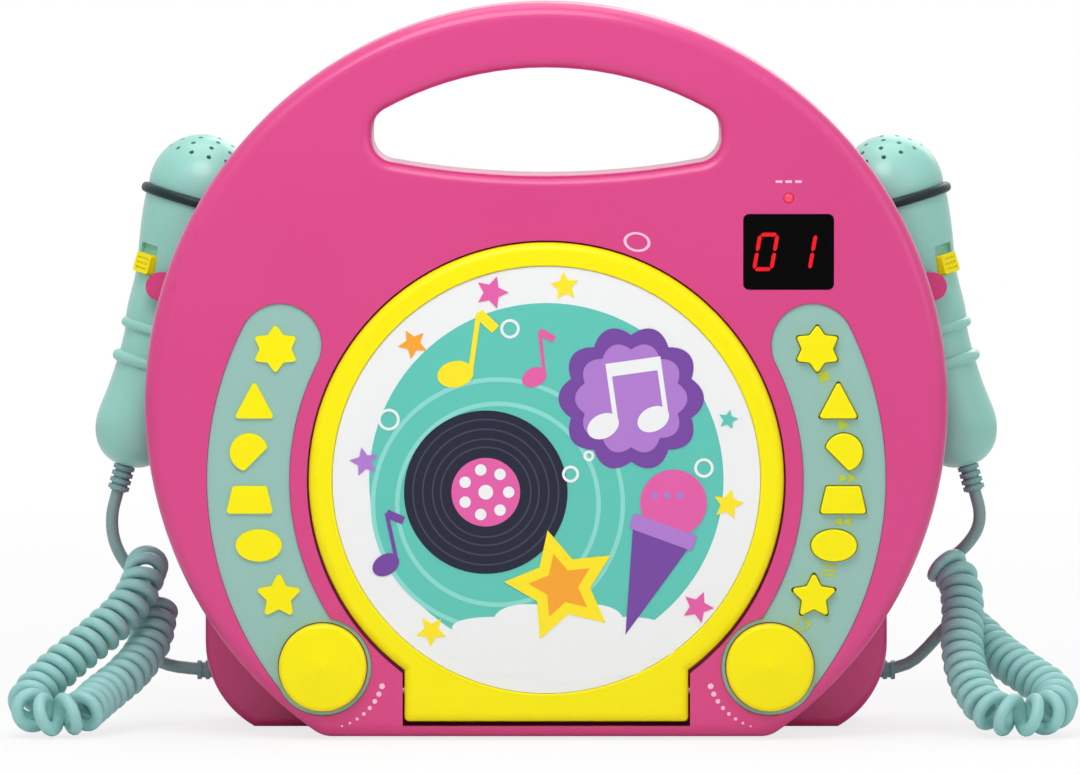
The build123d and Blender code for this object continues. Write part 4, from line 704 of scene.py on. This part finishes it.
def makeKeySigns(signs):
    shapes = FlatShapes("keyMarks", panelFront, signs["thickness"] * mm)
    stop, play = signs["stop"], signs["play"]
    shapes.bar(stop["x"], stop["z"], stop["size"], stop["size"], stop["turn"])
    shapes.triangle(play["x"], play["z"], play["size"])
    for name, turn in (("forward", 0), ("back", 180)):
        sign = signs[name]
        for side in (-1, 1):
            shapes.triangle(sign["x"] + side * sign["apart"], sign["z"], sign["size"], turn)
    lines = signs["program"]
    for row in (-1, 0, 1):
        z = lines["z"] + row * lines["apart"]
        shapes.bar(lines["x"], z, lines["long"], lines["high"], lines["turn"])
    again = signs["repeat"]
    shapes.ring(again["x"], again["z"], again["radius"], again["width"])
    shapes.triangle(again["x"] + again["radius"], again["z"], again["arrow"], -90)
    return shapes.finish("housing", "yellow_key", marks["keySign"])


# a row of growing dots runs round the lower inner side of each knob
knobDots = {
    "thickness": 0.08, "count": 8, "radius": 20.6, "from": -72, "to": -18,
    "small": 0.35, "step": 0.085,
}


def makeKnobDots(row):
    shapes = FlatShapes("knobDots", faceFront, row["thickness"] * mm)
    knob = middleOf("volume_knob")
    for hand in (-1, 1):
        for step in range(row["count"]):
            angle = radians(row["from"] + (row["to"] - row["from"]) * step / (row["count"] - 1))
            x = hand * (knob.x - row["radius"] * cos(angle))
            z = knob.z + row["radius"] * sin(angle)
            shapes.disc(x, z, row["small"] + step * row["step"], segments=20)
    return shapes.finish("housing", "pink_shell", marks["palePink"])


# a ring where the lid opens and three dashes over the lamp
faceSigns = {
    "thickness": 0.08,
    "open": {"x": 29.9, "z": 164.7, "radius": 3.2, "width": 0.7, "stretch": (1.4, 1), "turn": -10},
    "lamp": {"rise": 5.4, "apart": 3.2, "long": 2.2, "high": 0.8},
}


def makeFaceSigns(signs):
    shapes = FlatShapes("faceMarks", faceFront, signs["thickness"] * mm)
    opens, dashes = signs["open"], signs["lamp"]
    shapes.ring(
        opens["x"], opens["z"], opens["radius"], opens["width"], opens["stretch"], opens["turn"])
    lamp = middleOf("program_led")
    for side in (-1, 0, 1):
        x, z = lamp.x + side * dashes["apart"], lamp.z + dashes["rise"]
        shapes.bar(x, z, dashes["long"], dashes["high"])
    return shapes.finish("housing", "pink_shell", marks["palePink"])


makeKeySigns(keySigns)
makeKnobDots(knobDots)
makeFaceSigns(faceSigns)
print("marks made")


stage = {
    "floorSize": 6, "floorColour": (0.9, 0.9, 0.9, 1), "floorRoughness": 0.9,
    "whiteNear": 0.78, "fadeFrom": 0.2, "fadeTo": 1.2, "floorRays": ("Is Camera Ray",),
    "worldColour": (0.93, 0.95, 1, 1), "worldStrength": 0.4,
    "worldRays": ("Is Camera Ray", "Is Glossy Ray", "Is Transmission Ray"),
    "lampAim": (0, 0, 0.1),
}


def anyRay(tree, kinds):
    # one where a ray is of any of the named kinds
    path = tree.nodes.new("ShaderNodeLightPath")
    seen = path.outputs[kinds[0]]
    for kind in kinds[1:]:
        larger = tree.nodes.new("ShaderNodeMath")
        larger.operation = "MAXIMUM"
        tree.links.new(seen, larger.inputs[0])
        tree.links.new(path.outputs[kind], larger.inputs[1])
        seen = larger.outputs[0]
    return seen


def makeFloor():
    bm = bmesh.new()
    bmesh.ops.create_grid(bm, x_segments=1, y_segments=1, size=stage["floorSize"])
    material, tree, shader = principled("floorLook")
    shader.inputs["Base Color"].default_value = stage["floorColour"]
    shader.inputs["Roughness"].default_value = stage["floorRoughness"]
    shader.inputs["Specular IOR Level"].default_value = 0.0
    glow = tree.nodes.new("ShaderNodeEmission")
    mix = tree.nodes.new("ShaderNodeMixShader")
    # the floor fades to white away from the object, which keeps its shadow
    coords = tree.nodes.new("ShaderNodeTexCoord")
    reach = tree.nodes.new("ShaderNodeVectorMath")
    reach.operation = "LENGTH"
    fade = tree.nodes.new("ShaderNodeMapRange")
    fade.inputs["From Min"].default_value = stage["fadeFrom"]
    fade.inputs["From Max"].default_value = stage["fadeTo"]
    fade.inputs["To Min"].default_value = stage["whiteNear"]
    tree.links.new(coords.outputs["Object"], reach.inputs[0])
    tree.links.new(reach.outputs["Value"], fade.inputs["Value"])
    share = tree.nodes.new("ShaderNodeMath")
    share.operation = "MULTIPLY"
    tree.links.new(fade.outputs["Result"], share.inputs[1])
    tree.links.new(anyRay(tree, stage["floorRays"]), share.inputs[0])
    tree.links.new(share.outputs[0], mix.inputs["Fac"])
    tree.links.new(shader.outputs[0], mix.inputs[1])
    tree.links.new(glow.outputs[0], mix.inputs[2])
    tree.links.new(mix.outputs[0], tree.nodes["Material Output"].inputs["Surface"])
    floor = newPiece("floor", bm, material)


def makeWorld():
    world = bpy.data.worlds.new("studio")
    world.use_nodes = True
    scene.world = world
    tree = world.node_tree
    around = tree.nodes["Background"]
    around.inputs["Color"].default_value = stage["worldColour"]
    around.inputs["Strength"].default_value = stage["worldStrength"]
    white = tree.nodes.new("ShaderNodeBackground")
    white.inputs["Color"].default_value = (1, 1, 1, 1)
    mix = tree.nodes.new("ShaderNodeMixShader")
    tree.links.new(anyRay(tree, stage["worldRays"]), mix.inputs["Fac"])
    tree.links.new(around.outputs[0], mix.inputs[1])
    tree.links.new(white.outputs[0], mix.inputs[2])
    tree.links.new(mix.outputs[0], tree.nodes["World Output"].inputs["Surface"])


lamps = {
    "keyLamp": {"place": (-1.1, -1.7, 1.8), "power": 5.5, "size": 1.2},
    "upperLamp": {"place": (-0.08, -0.42, 0.6), "power": 1.95, "size": 0.35},
    "fillLamp": {"place": (1.5, -1.5, 1.0), "power": 5.5, "size": 1.4},
    "topLamp": {"place": (0.0, 0.2, 2.0), "power": 12, "size": 1.4},
    "backLamp": {"place": (0.6, 1.6, 1.2), "power": 8, "size": 1.2},
}


def makeLamps():
    for name, lamp in lamps.items():
        data = bpy.data.lights.new(name, "AREA")
        data.energy = lamp["power"]
        data.size = lamp["size"]
        light = bpy.data.objects.new(name, data)
        scene.collection.objects.link(light)
        light.location = lamp["place"]
        aim = Vector(stage["lampAim"]) - light.location
        light.rotation_euler = aim.to_track_quat("-Z", "Y").to_euler()


makeFloor()
makeWorld()
makeLamps()
scene.view_settings.view_transform = "Standard"
print("stage set")
